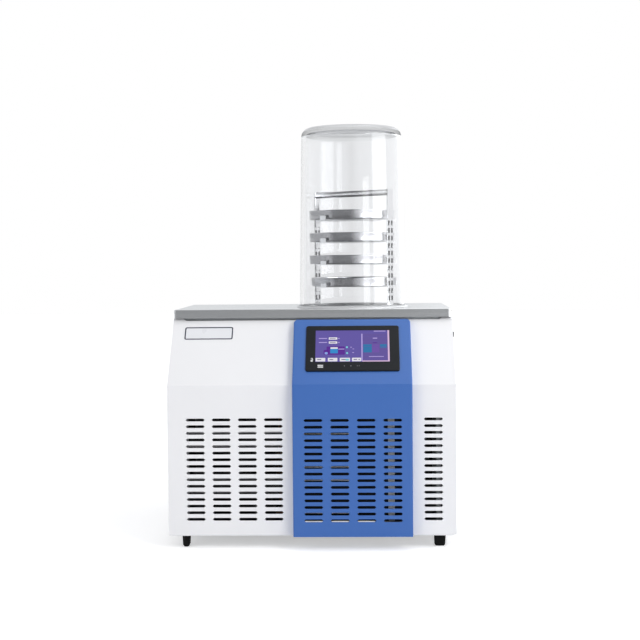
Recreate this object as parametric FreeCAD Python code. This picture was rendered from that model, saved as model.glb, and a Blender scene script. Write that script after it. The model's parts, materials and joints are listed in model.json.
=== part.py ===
import FreeCAD, Part
import math
import os

# Bench-top freeze dryer: a sheet-metal cabinet with a refrigerated cold trap, a stainless
# work top, and a clear drying chamber over a rack of four trays.
# Millimetres. X runs to the right, Y from the front to the back, Z up from the floor.
# The pieces are modelled about the middle of the cabinet. OVERALL_MIDDLE then moves them
# so that the origin is the centre of the whole footprint.

V = FreeCAD.Vector
X_AXIS = V(1, 0, 0)
Y_AXIS = V(0, 1, 0)
Z_AXIS = V(0, 0, 1)

# ---------------------------------------------------------------- driving dimensions
SHEET = 1.5                      # folded steel of the cabinet
SEAM = 0.5                       # clearance between panels that meet

CABINET_WIDTH = 615.0
CABINET_DEPTH = 456.0            # lower front face to rear face
PANEL_BOTTOM = 28.0              # clearance under the panels
BEND_HEIGHT = 351.0              # where the front starts to lean back
SLOPE_RISE = 133.0
SLOPE_SETBACK = 114.0
FLANGE_RUN = 18.0                # width of the folded-in edges

PLATE_TOP = 508.0
PLATE_WIDTH = 611.0
PLATE_DEPTH = 348.0
PLATE_LIP = 18.5

COVER_X = 87.5                   # the cover, screen, chamber and trap share this line
COVER_WIDTH = 254.0
COVER_PROUD = 22.0
COVER_BOTTOM = 30.0
COVER_TOP = 485.5
COVER_BEND = 354.5

SLOT_LENGTH = 40.5
SLOT_HEIGHT = 6.0
SLOT_PITCH_Z = 14.22
SLOT_ROWS = 16
SLOT_TOP = 277.6
LEFT_SLOTS_X = [-247.8 + 55.6 * column for column in range(4)]
COVER_SLOTS_X = [COVER_X + 1 + 56.0 * (column - 1.5) for column in range(4)]
RIGHT_SLOTS_X = [259.0]

CHAMBER_Y = 27.0                 # chamber and trap axis
CHAMBER_HEIGHT = 404.0
CHAMBER_BASE_RADIUS = 120.7
CHAMBER_TOP_RADIUS = 114.4
CHAMBER_WALL = 8.0
CHAMBER_ROOF = 12.0
CHAMBER_SHOULDER = 20.0

FLANGE_RADIUS = 128.0
FLANGE_HEIGHT = 3.0
SEAL_HEIGHT = 2.5
TRAP_RADIUS = 100.0
TRAP_BORE = 98.5
TRAP_DEPTH = 245.0

RACK_RADIUS = 105.0              # middle of the two uprights
RACK_ANGLE = -37.0               # direction of the near upright, from +X
RACK_SLOT_PITCH = 16.9
RACK_SLOT_FIRST = 529.0
RACK_SLOT_COUNT = 11
HANDLE_HEIGHT = 767.0
HANDLE_RADIUS = 7.0

SHELF_COUNT = 4
FIRST_SHELF = 554.0
SHELF_THICKNESS = 2.0
SHELF_SLOTS = 3                  # rack slots from one shelf to the next
TRAY_RADIUS = 98.0
TRAY_HEIGHT = 20.0
TRAY_WALL = 1.2
LOWEST_TRAY_SHIFT = 4.0          # the lowest tray sits a little to the right

PORT_Z = 440.0                   # vacuum port, sensor and air valve
PORT_BORE = 12.5
PORT_REACH = 38.0                # how far the port stands out at the back
DRAIN_Z = 112.0
DRAIN_REACH = 46.0
AIR_VALVE_X = 147.5

# Round pieces that fit nothing turning are drawn with flats, so that their facets stay light.
ROUND_SIDES = 48                 # chamber, seal and trap
TRAY_SIDES = 36
HOLE_SIDES = 40                  # the work top's opening
HIDDEN_SIDES = 24
SMALL_SIDES = 12

# ---------------------------------------------------------------- worked out from these
HALF_WIDTH = CABINET_WIDTH / 2
FRONT = -CABINET_DEPTH / 2
REAR = CABINET_DEPTH / 2
SLOPE = math.atan2(SLOPE_SETBACK, SLOPE_RISE)
SLOPE_TOP = BEND_HEIGHT + SLOPE_RISE
LIP_BOTTOM = PLATE_TOP - PLATE_LIP
PANEL_TOP = LIP_BOTTOM - SEAM
PLATE_FRONT = REAR - PLATE_DEPTH
DECK = PANEL_BOTTOM + 2 * SHEET  # upper face of the base pan
COVER_FRONT = FRONT - COVER_PROUD
COVER_LEFT = COVER_X - COVER_WIDTH / 2
COVER_RIGHT = COVER_X + COVER_WIDTH / 2
FLANGE_TOP = PLATE_TOP + FLANGE_HEIGHT
CHAMBER_BASE = FLANGE_TOP + SEAL_HEIGHT
TRAP_FLOOR = PLATE_TOP - TRAP_DEPTH
AXIS_XY = V(COVER_X, CHAMBER_Y, 0)


# ---------------------------------------------------------------- helpers
def box(x, y, z):
    """A block between two values on each axis."""
    return Part.makeBox(x[1] - x[0], y[1] - y[0], z[1] - z[0], V(x[0], y[0], z[0]))


def span(middle, length):
    return (middle - length / 2, middle + length / 2)


def rod(start, axis, radius, length):
    return Part.makeCylinder(radius, length, start, axis)


def flat_rod(start, axis, radius, length, sides=SMALL_SIDES):
    """A round bar drawn with flats, whose corners lie on the radius."""
    across = Y_AXIS if abs(axis.x) > 0.5 else X_AXIS
    upward = axis.cross(across)
    angles = [2 * math.pi * side / sides for side in range(sides)]
    outline = [start + (across * math.cos(a) + upward * math.sin(a)) * radius for a in angles]
    return polygon(outline).extrude(axis * length)


def flat_bore(start, axis, radius, length, sides=SMALL_SIDES):
    """A cutter for a round hole drawn with flats, none of which comes inside the radius."""
    return flat_rod(start, axis, radius / math.cos(math.pi / sides), length, sides)


def polygon(points):
    return Part.Face(Part.makePolygon(points + [points[0]]))


def prism_yz(points, x):
    """A side profile of (y, z) points, drawn out from x[0] to x[1]."""
    face = polygon([V(x[0], y, z) for y, z in points])
    return face.extrude(X_AXIS * (x[1] - x[0]))


def prism_xz(points, y):
    """A front profile of (x, z) points, drawn out from y[0] to y[1]."""
    face = polygon([V(x, y[0], z) for x, z in points])
    return face.extrude(Y_AXIS * (y[1] - y[0]))


def stacked_sections(sections):
    """A solid with plane sides through like-cornered outlines, one above the other."""
    faces = [polygon(sections[0]), polygon(sections[-1])]
    for lower, upper in zip(sections, sections[1:]):
        for i in range(len(lower)):
            j = (i + 1) % len(lower)
            faces.append(polygon([lower[i], lower[j], upper[j], upper[i]]))
    return Part.Solid(Part.Shell(faces))


def flat_sided(profile, sides, centre=AXIS_XY):
    """A round solid drawn with flats, through (radius, z) points from one end to the other."""
    sections = []
    for radius, z in profile:
        angles = [2 * math.pi * side / sides for side in range(sides)]
        sections.append([centre + V(radius * math.cos(a), radius * math.sin(a), z) for a in angles])
    return stacked_sections(sections)


def rounded_path(corners, radius):
    """An open wire through the corners, with each inner corner bent to the radius."""
    edges = []
    last = corners[0]
    for before, corner, after in zip(corners, corners[1:], corners[2:]):
        back = (before - corner).normalize()
        ahead = (after - corner).normalize()
        half_angle = back.getAngle(ahead) / 2
        start = corner + back * (radius / math.tan(half_angle))
        end = corner + ahead * (radius / math.tan(half_angle))
        inward = (back + ahead).normalize()
        crown = corner + inward * (radius / math.sin(half_angle) - radius)
        edges.append(Part.LineSegment(last, start).toShape())
        edges.append(Part.Arc(start, crown, end).toShape())
        last = end
    edges.append(Part.LineSegment(last, corners[-1]).toShape())
    return Part.Wire(edges)


def folded_sheet(profile, x, radius=3.0):
    """A sheet folded along X: the (y, z) profile is its outer face, its thickness is inside."""
    wire = rounded_path([V(x[0], y, z) for y, z in profile], radius)
    face = wire.makeOffset2D(SHEET, fill=True, openResult=True)
    return face.extrude(X_AXIS * (x[1] - x[0]))


def pipe(points, radius, sides=8):
    """A pipe along straight runs with tight elbows."""
    first_run = (points[1] - points[0]).normalize()
    start = flat_rod(points[0], first_run, radius, 1.0, sides).Faces
    outline = min(start, key=lambda face: (face.CenterOfMass - points[0]).Length).OuterWire
    return Part.makePolygon(points).makePipeShell([outline], True, False, 1)


def slot_cutters(columns_x, z_top, rows, y):
    """Cutters for a grid of cooling slots with tapered ends, through a face of constant y."""
    half = SLOT_HEIGHT / 2
    right_end = [(SLOT_LENGTH / 2 - half, -half), (SLOT_LENGTH / 2, 0), (SLOT_LENGTH / 2 - half, half)]
    outline = right_end + [(-u, -v) for u, v in right_end]
    cutters = []
    for x in columns_x:
        for row in range(rows):
            z = z_top - row * SLOT_PITCH_Z
            cutters.append(prism_xz([(x + u, z + v) for u, v in outline], y))
    return cutters


def slope_point(along, outward=0.0):
    """(y, z) on the white slope: distance along it from the bend, and out of its face."""
    y = FRONT + along * math.sin(SLOPE) - outward * math.cos(SLOPE)
    z = BEND_HEIGHT + along * math.cos(SLOPE) + outward * math.sin(SLOPE)
    return y, z


def fused(shapes):
    return shapes[0].multiFuse(shapes[1:]).removeSplitter()


# ---------------------------------------------------------------- front panels and cover
EAR_WIDTH = 20.0                 # ends of the front panels that reach the work top
CORNER_CUT = (7.5, 5.0)          # the lower outer corners, across and up
COVER_LAP = 6.0                  # the cover laps over the inner ends of the panels


def front_panel(x, outer_side, slots):
    """A white front panel. Its outer end reaches the work top; the rest leaves a dark gap."""
    along = (PANEL_TOP - BEND_HEIGHT) / math.cos(SLOPE)
    profile = [(FRONT + FLANGE_RUN, PANEL_BOTTOM), (FRONT, PANEL_BOTTOM), (FRONT, BEND_HEIGHT),
               slope_point(along)]
    through = (FRONT - 5, REAR)
    outer_end = outer_side * HALF_WIDTH
    ear_end = outer_side * (HALF_WIDTH - EAR_WIDTH)
    slant = outer_side * (LIP_BOTTOM - SLOPE_TOP) * 1.5
    beyond = outer_side * -HALF_WIDTH
    gap = prism_xz([(beyond, SLOPE_TOP), (ear_end - slant, SLOPE_TOP),
                    (ear_end, LIP_BOTTOM), (beyond, LIP_BOTTOM)], through)
    corner = prism_xz([(outer_end, PANEL_BOTTOM), (outer_end, PANEL_BOTTOM + CORNER_CUT[1]),
                       (outer_end - outer_side * CORNER_CUT[0], PANEL_BOTTOM)], through)
    return folded_sheet(profile, x).cut([gap, corner] + slots)


def make_front_panels():
    through = (FRONT - 5, FRONT + 5)
    left_slots = slot_cutters(LEFT_SLOTS_X, SLOT_TOP, SLOT_ROWS, through)
    right_slots = slot_cutters(RIGHT_SLOTS_X, SLOT_TOP, SLOT_ROWS, through)
    return {"left_front_panel": front_panel((-HALF_WIDTH, COVER_LEFT + COVER_LAP), -1, left_slots),
            "right_front_panel": front_panel((COVER_RIGHT - COVER_LAP, HALF_WIDTH), 1, right_slots)}


COVER_EDGE = 3.0                 # radius of the folded edges
COVER_CHAMFER = 5.0              # upper corners


def cover_block(inset):
    """The space filled by the centre cover, less an inset, with its two corner chamfers."""
    shift = inset * math.tan(SLOPE / 2)
    front = COVER_FRONT + inset
    bend = COVER_BEND - shift
    top = COVER_TOP - inset
    bottom = COVER_BOTTOM + inset
    lean = math.tan(SLOPE)
    profile = [(front, bottom), (front, bend), (front + (top - bend) * lean, top),
               (FRONT + (top - BEND_HEIGHT) * lean, top), (FRONT, BEND_HEIGHT), (FRONT, bottom)]
    block = prism_yz(profile, (COVER_LEFT + inset, COVER_RIGHT - inset))
    cut = COVER_CHAMFER - inset * (2 - math.sqrt(2))
    for side in (-1, 1):
        end = COVER_X + side * (COVER_WIDTH / 2 - inset)
        block = block.cut(prism_xz([(end, top), (end - side * cut, top), (end, top - cut)],
                                   (COVER_FRONT, REAR)))
    return block


def long_front_edges(block):
    """The four long edges that the cover's front folds round at its two sides."""
    slope_length = (COVER_TOP - COVER_BEND) / math.cos(SLOPE)
    edges = []
    for edge in block.Edges:
        at = edge.CenterOfMass
        on_side = abs(abs(at.x - COVER_X) - COVER_WIDTH / 2) < 0.1
        on_front = abs(at.y - COVER_FRONT) < 0.1
        on_lean = at.y < FRONT + 60 and at.z > COVER_BEND and abs(edge.Length - slope_length) < 12
        off_back = at.z * SLOPE_SETBACK > (BEND_HEIGHT * SLOPE_SETBACK
                                           + (at.y - FRONT + 5) * SLOPE_RISE)
        if on_side and edge.Length > 100 and (on_front or (on_lean and off_back)):
            edges.append(edge)
    return edges


def make_centre_cover():
    """A blue folded cover that stands proud of the white panels, open at the back."""
    outer = cover_block(0)
    outer = outer.makeFillet(COVER_EDGE, long_front_edges(outer))
    inner_x = (COVER_LEFT + SHEET, COVER_RIGHT - SHEET)
    open_back = prism_yz([(FRONT - 0.1, COVER_BOTTOM + SHEET), (FRONT - 0.1, BEND_HEIGHT),
                          (FRONT + 120, BEND_HEIGHT + 120 / math.tan(SLOPE)),
                          (FRONT + 120, COVER_BOTTOM + SHEET)], inner_x)
    below_top = box(inner_x, (COVER_FRONT, REAR), (0, COVER_TOP - SHEET - COVER_CHAMFER))
    screen_opening = on_slope(centred_block(SCREEN_BODY[0] + 1, SCREEN_BODY[1] + 1, (-20, 40)))
    slots = slot_cutters(COVER_SLOTS_X, SLOT_TOP + 0.5, SLOT_ROWS,
                         (COVER_FRONT - 5, COVER_FRONT + 5))
    cutters = [cover_block(SHEET), open_back.common(below_top), screen_opening] + slots
    return {"centre_cover": outer.cut(cutters)}


# ---------------------------------------------------------------- touch screen
SCREEN = (200.5, 120.5, 4.0)     # bezel: width, height, how far it stands out
SCREEN_CORNER = 5.0
SCREEN_X = COVER_X + 1.0
SCREEN_ALONG = 81.1              # middle of the screen, up the slope from the bend
SCREEN_BODY = (182.0, 104.0, 32.0)
COVER_OUT = COVER_PROUD * math.cos(SLOPE) + (COVER_BEND - BEND_HEIGHT) * math.sin(SLOPE)
DISPLAY = (159.0, 84.0)
DISPLAY_RISE = 5.0               # the display sits above the middle of its bezel
DISPLAY_RECESS = 1.5
DISPLAY_SUNK = 0.3


def centred_block(width, height, out, rise=0.0):
    """A block about the screen's centre; out is its reach from the cover's leaning face."""
    return box(span(0, width), (-out[1], -out[0]), span(rise, height))


def on_slope(shape):
    """Moves a shape drawn about the screen's centre, facing -Y, onto the leaning face."""
    y, z = slope_point(SCREEN_ALONG, COVER_OUT)
    shape.rotate(V(0, 0, 0), X_AXIS, -math.degrees(SLOPE))
    return shape.translated(V(SCREEN_X, y, z))


def make_screen():
    width, height, proud = SCREEN
    bezel = centred_block(width, height, (0, proud))
    corners = [edge for edge in bezel.Edges if abs(edge.Length - proud) < 0.01]
    bezel = bezel.makeFillet(SCREEN_CORNER, corners)
    rim = [edge for edge in bezel.Edges if edge.BoundBox.YMax < 0.01 - proud]
    bezel = bezel.makeChamfer(1.0, rim)
    recess = centred_block(*DISPLAY, (proud - DISPLAY_RECESS, proud), DISPLAY_RISE)
    glass = centred_block(*DISPLAY, (proud - DISPLAY_RECESS, proud - DISPLAY_SUNK), DISPLAY_RISE)
    body = centred_block(SCREEN_BODY[0], SCREEN_BODY[1], (-SCREEN_BODY[2], 0))
    return {"screen_bezel": on_slope(bezel.cut(recess)), "screen_body": on_slope(body),
            "display_glass": on_slope(glass)}


# ---------------------------------------------------------------- sides, back, base and feet
SWITCH_Y = -107.0
SWITCH_Z = 450.0
SWITCH_BODY = (20.0, 13.0)       # along Y and Z
SOCKET_X = 250.0
INLET_Z = 90.0
OUTLET_Z = 150.0
SOCKET_BODY = (28.0, 22.0)       # along X and Z
FIT = 0.2                        # how much an opening is wider than what goes in it
REAR_GAP = 2.0                   # from the rear panel up to the work top's lip


def side_panel(side):
    """A flat side with folded-in edges at the top and the bottom."""
    sheet_x = sorted((side * HALF_WIDTH, side * (HALF_WIDTH - SHEET)))
    flange_x = sorted((side * HALF_WIDTH, side * (HALF_WIDTH - FLANGE_RUN)))
    front_y = FRONT + SHEET
    slope_end = slope_point((PANEL_TOP - BEND_HEIGHT) / math.cos(SLOPE), -SHEET)[0] + 3.0
    sheet = prism_yz([(front_y + CORNER_CUT[0], PANEL_BOTTOM), (front_y, PANEL_BOTTOM + CORNER_CUT[1]),
                      (front_y, BEND_HEIGHT - 1.0), (slope_end, PANEL_TOP),
                      (REAR - SHEET, PANEL_TOP), (REAR - SHEET, PANEL_BOTTOM)], sheet_x)
    top_flange = box(flange_x, (-60, 190), (PANEL_TOP - SHEET, PANEL_TOP))
    bottom_flange = box(flange_x, (FRONT + FLANGE_RUN + 1, REAR - FLANGE_RUN),
                        (PANEL_BOTTOM, PANEL_BOTTOM + SHEET))
    return fused([sheet, top_flange, bottom_flange])


def make_side_panels():
    switch_opening = box((HALF_WIDTH - 10, HALF_WIDTH + 10), span(SWITCH_Y, SWITCH_BODY[0] + FIT),
                         span(SWITCH_Z, SWITCH_BODY[1] + FIT))
    return {"left_side_panel": side_panel(-1), "right_side_panel": side_panel(1).cut(switch_opening)}


def make_rear_panel():
    """A flat sheet with the openings for the services, and vents beside the compressor."""
    sheet = box((-HALF_WIDTH, HALF_WIDTH), (REAR - SHEET, REAR), (PANEL_BOTTOM, LIP_BOTTOM - REAR_GAP))
    through = (REAR - 5, REAR + 5)
    openings = [flat_bore(V(COVER_X, REAR - 5, PORT_Z), Y_AXIS, PORT_OUTER + SEAM, 10),
                flat_bore(V(COVER_X, REAR - 5, DRAIN_Z), Y_AXIS, DRAIN_RADIUS + SEAM, 10),
                flat_bore(V(AIR_VALVE_X, REAR - 5, PORT_Z), Y_AXIS, AIR_LINE_RADIUS + SEAM, 10)]
    for z in (INLET_Z, OUTLET_Z):
        openings.append(box(span(SOCKET_X, SOCKET_BODY[0] + FIT), through, span(z, SOCKET_BODY[1] + FIT)))
    for x in (-215.0, -160.0):
        for row in range(8):
            z = 262.0 - row * SLOT_PITCH_Z
            openings.append(box(span(x, SLOT_LENGTH), through, span(z, SLOT_HEIGHT)))
    return {"rear_panel": sheet.cut(openings)}


def make_base_pan():
    """A folded tray that carries the compressor, the condenser and the frame."""
    x = (-HALF_WIDTH + SHEET, HALF_WIDTH - SHEET)
    y = (FRONT + FLANGE_RUN + 1, REAR - SHEET)
    outer = box(x, y, (PANEL_BOTTOM + SHEET, PANEL_BOTTOM + 28))
    inner = box((x[0] + SHEET, x[1] - SHEET), (y[0] + SHEET, y[1] - SHEET), (DECK, DECK + 40))
    return {"base_pan": outer.cut(inner)}


FOOT = (17.0, 26.0)              # breadth and length
FOOT_INSET = 34.0


def foot(x, y, size):
    """A tapered oblong foot with cut corners and a bevelled sole."""
    sections = []
    for z, shrink in ((0.0, 3.6), (4.0, 1.4), (PANEL_BOTTOM + SHEET, 0.0)):
        w = size[0] / 2 - shrink
        d = size[1] / 2 - shrink
        cut = 4.0 - shrink / 2
        corners = [(w - cut, d), (w, d - cut), (w, cut - d), (w - cut, -d),
                   (cut - w, -d), (-w, cut - d), (-w, d - cut), (cut - w, d)]
        sections.append([V(x + u, y + v, z) for u, v in corners])
    return stacked_sections(sections)


def make_feet():
    """Feet of one mould: lengthwise on the left, crosswise on the right."""
    feet = {}
    for side_name, x, size in (("left", FOOT_INSET - HALF_WIDTH, FOOT),
                               ("right", HALF_WIDTH - FOOT_INSET, FOOT[::-1])):
        feet["foot_front_" + side_name] = foot(x, FRONT + FOOT_INSET, size)
        feet["foot_rear_" + side_name] = foot(x, REAR - FOOT_INSET, size)
    return feet


# ---------------------------------------------------------------- inner frame
FRAME_SHEET = 2.0
FRAME_RUN = 22.0                 # leg of the angle sections
FRAME_OUT = HALF_WIDTH - 5.0
FRAME_FRONT = FRONT + 21.0
CHANNEL_ROWS = ((2, 4), (9, 11)) # slot rows that the two front channels lie behind


def front_channel(upper_row, lower_row, x):
    """A lipped channel, open to the front, behind a pair of slot rows."""
    lip = 6.0
    top = SLOT_TOP - upper_row * SLOT_PITCH_Z + lip / 2
    bottom = SLOT_TOP - lower_row * SLOT_PITCH_Z - lip / 2
    y0 = FRAME_FRONT + FRAME_SHEET
    y1 = y0 + 14.0
    outer = box(x, (y0, y1), (bottom, top))
    hollow = box(x, (y0 + FRAME_SHEET, y1 - FRAME_SHEET), (bottom + FRAME_SHEET, top - FRAME_SHEET))
    mouth = box(x, (y0, y0 + FRAME_SHEET), (bottom + lip, top - lip))
    return outer.cut([hollow, mouth])


def make_inner_frame():
    """One welded frame: posts, a belt at the height of the bend, and rails under the top."""
    top = PLATE_TOP - SHEET
    belt = (BEND_HEIGHT - FRAME_RUN, BEND_HEIGHT)
    front_y = (FRAME_FRONT, FRAME_FRONT + FRAME_SHEET)
    rear_y = (REAR - 5 - FRAME_RUN, REAR - 5)
    rail_y = (PLATE_FRONT + 20, PLATE_FRONT + 20 + FRAME_RUN)
    left_end = -FRAME_OUT
    right_end = FRAME_OUT
    pieces = []
    for x in ((-285.0, -265.0), (-50.0, -36.0), (163.0, 177.0), (266.0, 275.0)):
        pieces.append(box(x, front_y, (DECK, BEND_HEIGHT)))
    pieces.append(box((left_end, right_end), front_y, belt))
    for rows in CHANNEL_ROWS:
        pieces.append(front_channel(*rows, (-285.0, -36.0)))
    for side in (-1, 1):
        leg_x = sorted((side * FRAME_OUT, side * (FRAME_OUT - FRAME_RUN)))
        thin_x = sorted((side * FRAME_OUT, side * (FRAME_OUT - FRAME_SHEET)))
        pieces.append(box(leg_x, (rear_y[1] - FRAME_SHEET, rear_y[1]), (DECK, top)))
        pieces.append(box(thin_x, rear_y, (DECK, top)))
        pieces.append(box(thin_x, (front_y[0], rear_y[1]), belt))
        pieces.append(box(thin_x, (rail_y[0] + 8, rail_y[1] + 8), (belt[0], top)))
        pieces.append(box(leg_x, (rail_y[0], rear_y[1]), (top - FRAME_SHEET, top)))
    pieces.append(box((left_end, right_end), rail_y, (top - FRAME_SHEET, top)))
    pieces.append(box((left_end, right_end), (rail_y[0], rail_y[0] + FRAME_SHEET), (LIP_BOTTOM - 12, top)))
    pieces.append(box((left_end, right_end), rear_y, (top - FRAME_SHEET, top)))
    return {"inner_frame": fused(pieces)}


# ---------------------------------------------------------------- work top, trap and chamber
PLATE_CORNER = 6.0
PLATE_RIM = 1.0
TRAP_CLEARANCE = 6.0             # between the trap and the plate; the trap's flange covers it
SEAL_RADII = (111.2, 121.7)
STUD = (20.0, -105.0, 3.3, 2.5)  # lid locator: offset from the axis, radius, height


def lipped_block(inset, corner):
    """The work top's outline as a block with rounded upright corners."""
    block = box(span(0, PLATE_WIDTH - 2 * inset), (PLATE_FRONT + inset, REAR - inset),
                (LIP_BOTTOM, PLATE_TOP - inset))
    height = PLATE_LIP - inset
    return block.makeFillet(corner, [e for e in block.Edges if abs(e.Length - height) < 0.01])


def make_top_plate():
    """A stainless top with turned-down lips and a round opening for the trap."""
    outer = lipped_block(0, PLATE_CORNER)
    rim = [edge for edge in outer.Edges if edge.BoundBox.ZMin > PLATE_TOP - 0.01]
    outer = outer.makeChamfer(PLATE_RIM, rim)
    opening = flat_bore(AXIS_XY + V(0, 0, LIP_BOTTOM), Z_AXIS, TRAP_RADIUS + TRAP_CLEARANCE, PLATE_LIP,
                        HOLE_SIDES)
    return {"top_plate": outer.cut([lipped_block(SHEET, PLATE_CORNER - SHEET), opening])}


def make_trap_well():
    """A welded well with a flat flange that lies on the work top, and its two side ports."""
    can = flat_sided([(TRAP_RADIUS, TRAP_FLOOR), (TRAP_RADIUS, FLANGE_TOP)], ROUND_SIDES)
    flange = flat_sided([(FLANGE_RADIUS, PLATE_TOP), (FLANGE_RADIUS, PLATE_TOP + 1),
                         (FLANGE_RADIUS - 2.5, FLANGE_TOP)], ROUND_SIDES)
    hollow = flat_sided([(TRAP_BORE, TRAP_FLOOR + SHEET), (TRAP_BORE, FLANGE_TOP)], ROUND_SIDES)
    stud = flat_rod(AXIS_XY + V(STUD[0], STUD[1], FLANGE_TOP), Z_AXIS, STUD[2], STUD[3])
    holes = [hollow, flat_bore(AXIS_XY + V(0, 0, TRAP_FLOOR), Z_AXIS, DRAIN_BORE, 5),
             flat_bore(V(COVER_X, CHAMBER_Y, PORT_Z), Y_AXIS, PORT_BORE, 2 * TRAP_RADIUS),
             flat_bore(V(AIR_VALVE_X, CHAMBER_Y, PORT_Z), Y_AXIS, AIR_LINE_BORE, 2 * TRAP_RADIUS)]
    return {"cold_trap_well": fused([can, flange, stud]).cut(holes)}


def shoulder(radius, top, bend):
    """(radius, z) points of a quarter round between a wall and a roof."""
    steps = 3
    angles = [math.pi / 2 * step / steps for step in range(steps + 1)]
    return [(radius - bend + bend * math.cos(a), top - bend + bend * math.sin(a)) for a in angles]


def make_chamber():
    """Clear moulded bell on its seal: a slightly tapered wall, a flat roof, a round shoulder."""
    seal = flat_sided([(SEAL_RADII[1], FLANGE_TOP), (SEAL_RADII[1], CHAMBER_BASE)], ROUND_SIDES)
    seal = seal.cut(flat_sided([(SEAL_RADII[0], FLANGE_TOP), (SEAL_RADII[0], CHAMBER_BASE)], ROUND_SIDES))
    top = CHAMBER_BASE + CHAMBER_HEIGHT
    outer = [(CHAMBER_BASE_RADIUS, CHAMBER_BASE)]
    outer += shoulder(CHAMBER_TOP_RADIUS, top, CHAMBER_SHOULDER)
    inner = [(CHAMBER_BASE_RADIUS - CHAMBER_WALL, CHAMBER_BASE)]
    inner += shoulder(CHAMBER_TOP_RADIUS - CHAMBER_WALL, top - CHAMBER_ROOF, CHAMBER_SHOULDER - CHAMBER_WALL)
    chamber = flat_sided(outer, ROUND_SIDES).cut(flat_sided(inner, ROUND_SIDES))
    return {"chamber_seal": seal, "chamber": chamber}


# ---------------------------------------------------------------- rack, shelves and trays
UPRIGHT_WIDTH = 20.0
UPRIGHT_THICKNESS = 2.0
RACK_SLOT = (3.2, 8.0)
RACK_SLOT_OFFSET = 5.5           # the slots are in pairs
RACK_FOOT = (62.0, 6.5, 2.5)     # across, radial and height


def in_rack(shape):
    """Turns a shape drawn with its X along the line through both uprights into place."""
    shape.rotate(V(0, 0, 0), Z_AXIS, RACK_ANGLE)
    return shape.translated(AXIS_XY)


def make_rack():
    """Two slotted uprights on broad feet, joined by a round lifting handle."""
    outer = RACK_RADIUS + UPRIGHT_THICKNESS / 2
    pieces = []
    cutters = []
    for side in (-1, 1):
        upright_x = sorted((side * outer, side * (outer - UPRIGHT_THICKNESS)))
        foot_x = sorted((side * outer, side * (outer - RACK_FOOT[1])))
        pieces.append(box(upright_x, span(0, UPRIGHT_WIDTH), (FLANGE_TOP, HANDLE_HEIGHT + HANDLE_RADIUS + 1)))
        pieces.append(box(foot_x, span(0, RACK_FOOT[0]), (FLANGE_TOP, FLANGE_TOP + RACK_FOOT[2])))
        for row in range(RACK_SLOT_COUNT):
            z = RACK_SLOT_FIRST + row * RACK_SLOT_PITCH
            for across in (-RACK_SLOT_OFFSET, RACK_SLOT_OFFSET):
                cutters.append(box((upright_x[0] - 1, upright_x[1] + 1), span(across, RACK_SLOT[0]),
                                   span(z, RACK_SLOT[1])))
    pieces.append(flat_rod(V(-RACK_RADIUS, 0, HANDLE_HEIGHT), X_AXIS, HANDLE_RADIUS, 2 * RACK_RADIUS, 16))
    return {"tray_rack": in_rack(fused(pieces).cut(cutters))}


CARRIER = (80.0, 35.0)           # half length and half width of a shelf's middle
EAR_HALF = 8.0
ARM_HALF = 7.5
STOP_HEIGHT = 9.0
TAB = (2.6, 3.0)                 # width and height of the tabs that enter the rack's slots


def shelf(level):
    """A flat carrier whose turned-down ends hook into the rack, with a stop on each side arm."""
    bottom = FIRST_SHELF + level * SHELF_SLOTS * RACK_SLOT_PITCH
    slot_bottom = RACK_SLOT_FIRST + (1 + level * SHELF_SLOTS) * RACK_SLOT_PITCH - RACK_SLOT[1] / 2
    thick = (bottom, bottom + SHELF_THICKNESS)
    reach = RACK_RADIUS - UPRIGHT_THICKNESS / 2
    stop_reach = TRAY_RADIUS + LOWEST_TRAY_SHIFT + 0.4 + SHEET
    pieces = [box((-CARRIER[0], CARRIER[0]), (-CARRIER[1], CARRIER[1]), thick),
              box((-reach, reach), (-EAR_HALF, EAR_HALF), thick),
              box((-ARM_HALF, ARM_HALF), (-stop_reach, stop_reach), thick)]
    for side in (-1, 1):
        end = sorted((side * reach, side * (reach - SHELF_THICKNESS)))
        stop = sorted((side * stop_reach, side * (stop_reach - SHEET)))
        tab_x = sorted((side * reach, side * (reach + UPRIGHT_THICKNESS + 1.5)))
        pieces.append(box(end, (-EAR_HALF, EAR_HALF), (slot_bottom, thick[1])))
        pieces.append(box((-ARM_HALF, ARM_HALF), stop, (bottom, bottom + STOP_HEIGHT)))
        for across in (-RACK_SLOT_OFFSET, RACK_SLOT_OFFSET):
            pieces.append(box(tab_x, span(across, TAB[0]), (slot_bottom, slot_bottom + TAB[1])))
    return in_rack(fused(pieces))


def tray(level):
    bottom = FIRST_SHELF + level * SHELF_SLOTS * RACK_SLOT_PITCH + SHELF_THICKNESS
    rim = bottom + TRAY_HEIGHT
    centre = AXIS_XY + V(LOWEST_TRAY_SHIFT if level == 0 else 0, 0, 0)
    body = flat_sided([(TRAY_RADIUS, bottom), (TRAY_RADIUS, rim)], TRAY_SIDES, centre)
    hollow = flat_sided([(TRAY_RADIUS - TRAY_WALL, bottom + TRAY_WALL), (TRAY_RADIUS - TRAY_WALL, rim)],
                        TRAY_SIDES, centre)
    return body.cut(hollow)


def make_shelves_and_trays():
    pieces = {}
    for level in range(SHELF_COUNT):
        number = str(SHELF_COUNT - level)
        pieces["shelf_" + number] = shelf(level)
        pieces["tray_" + number] = tray(level)
    return pieces


# ---------------------------------------------------------------- insulation and refrigeration
BLOCK_HALF = 128.0               # half width of the foam block
BLOCK_Z = (236.0, 472.0)
EVAPORATOR_WALL = 3.0
EVAPORATOR_Z = (275.0, 410.0)
EVAPORATOR_GAP = 0.3
LIQUID_Y = 0.0                   # where the two refrigerant lines meet the evaporator
LIQUID_Z = 300.0
SUCTION_Y = 27.0
SUCTION_Z = 390.0
PIPE_RADIUS = 4.0


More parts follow.
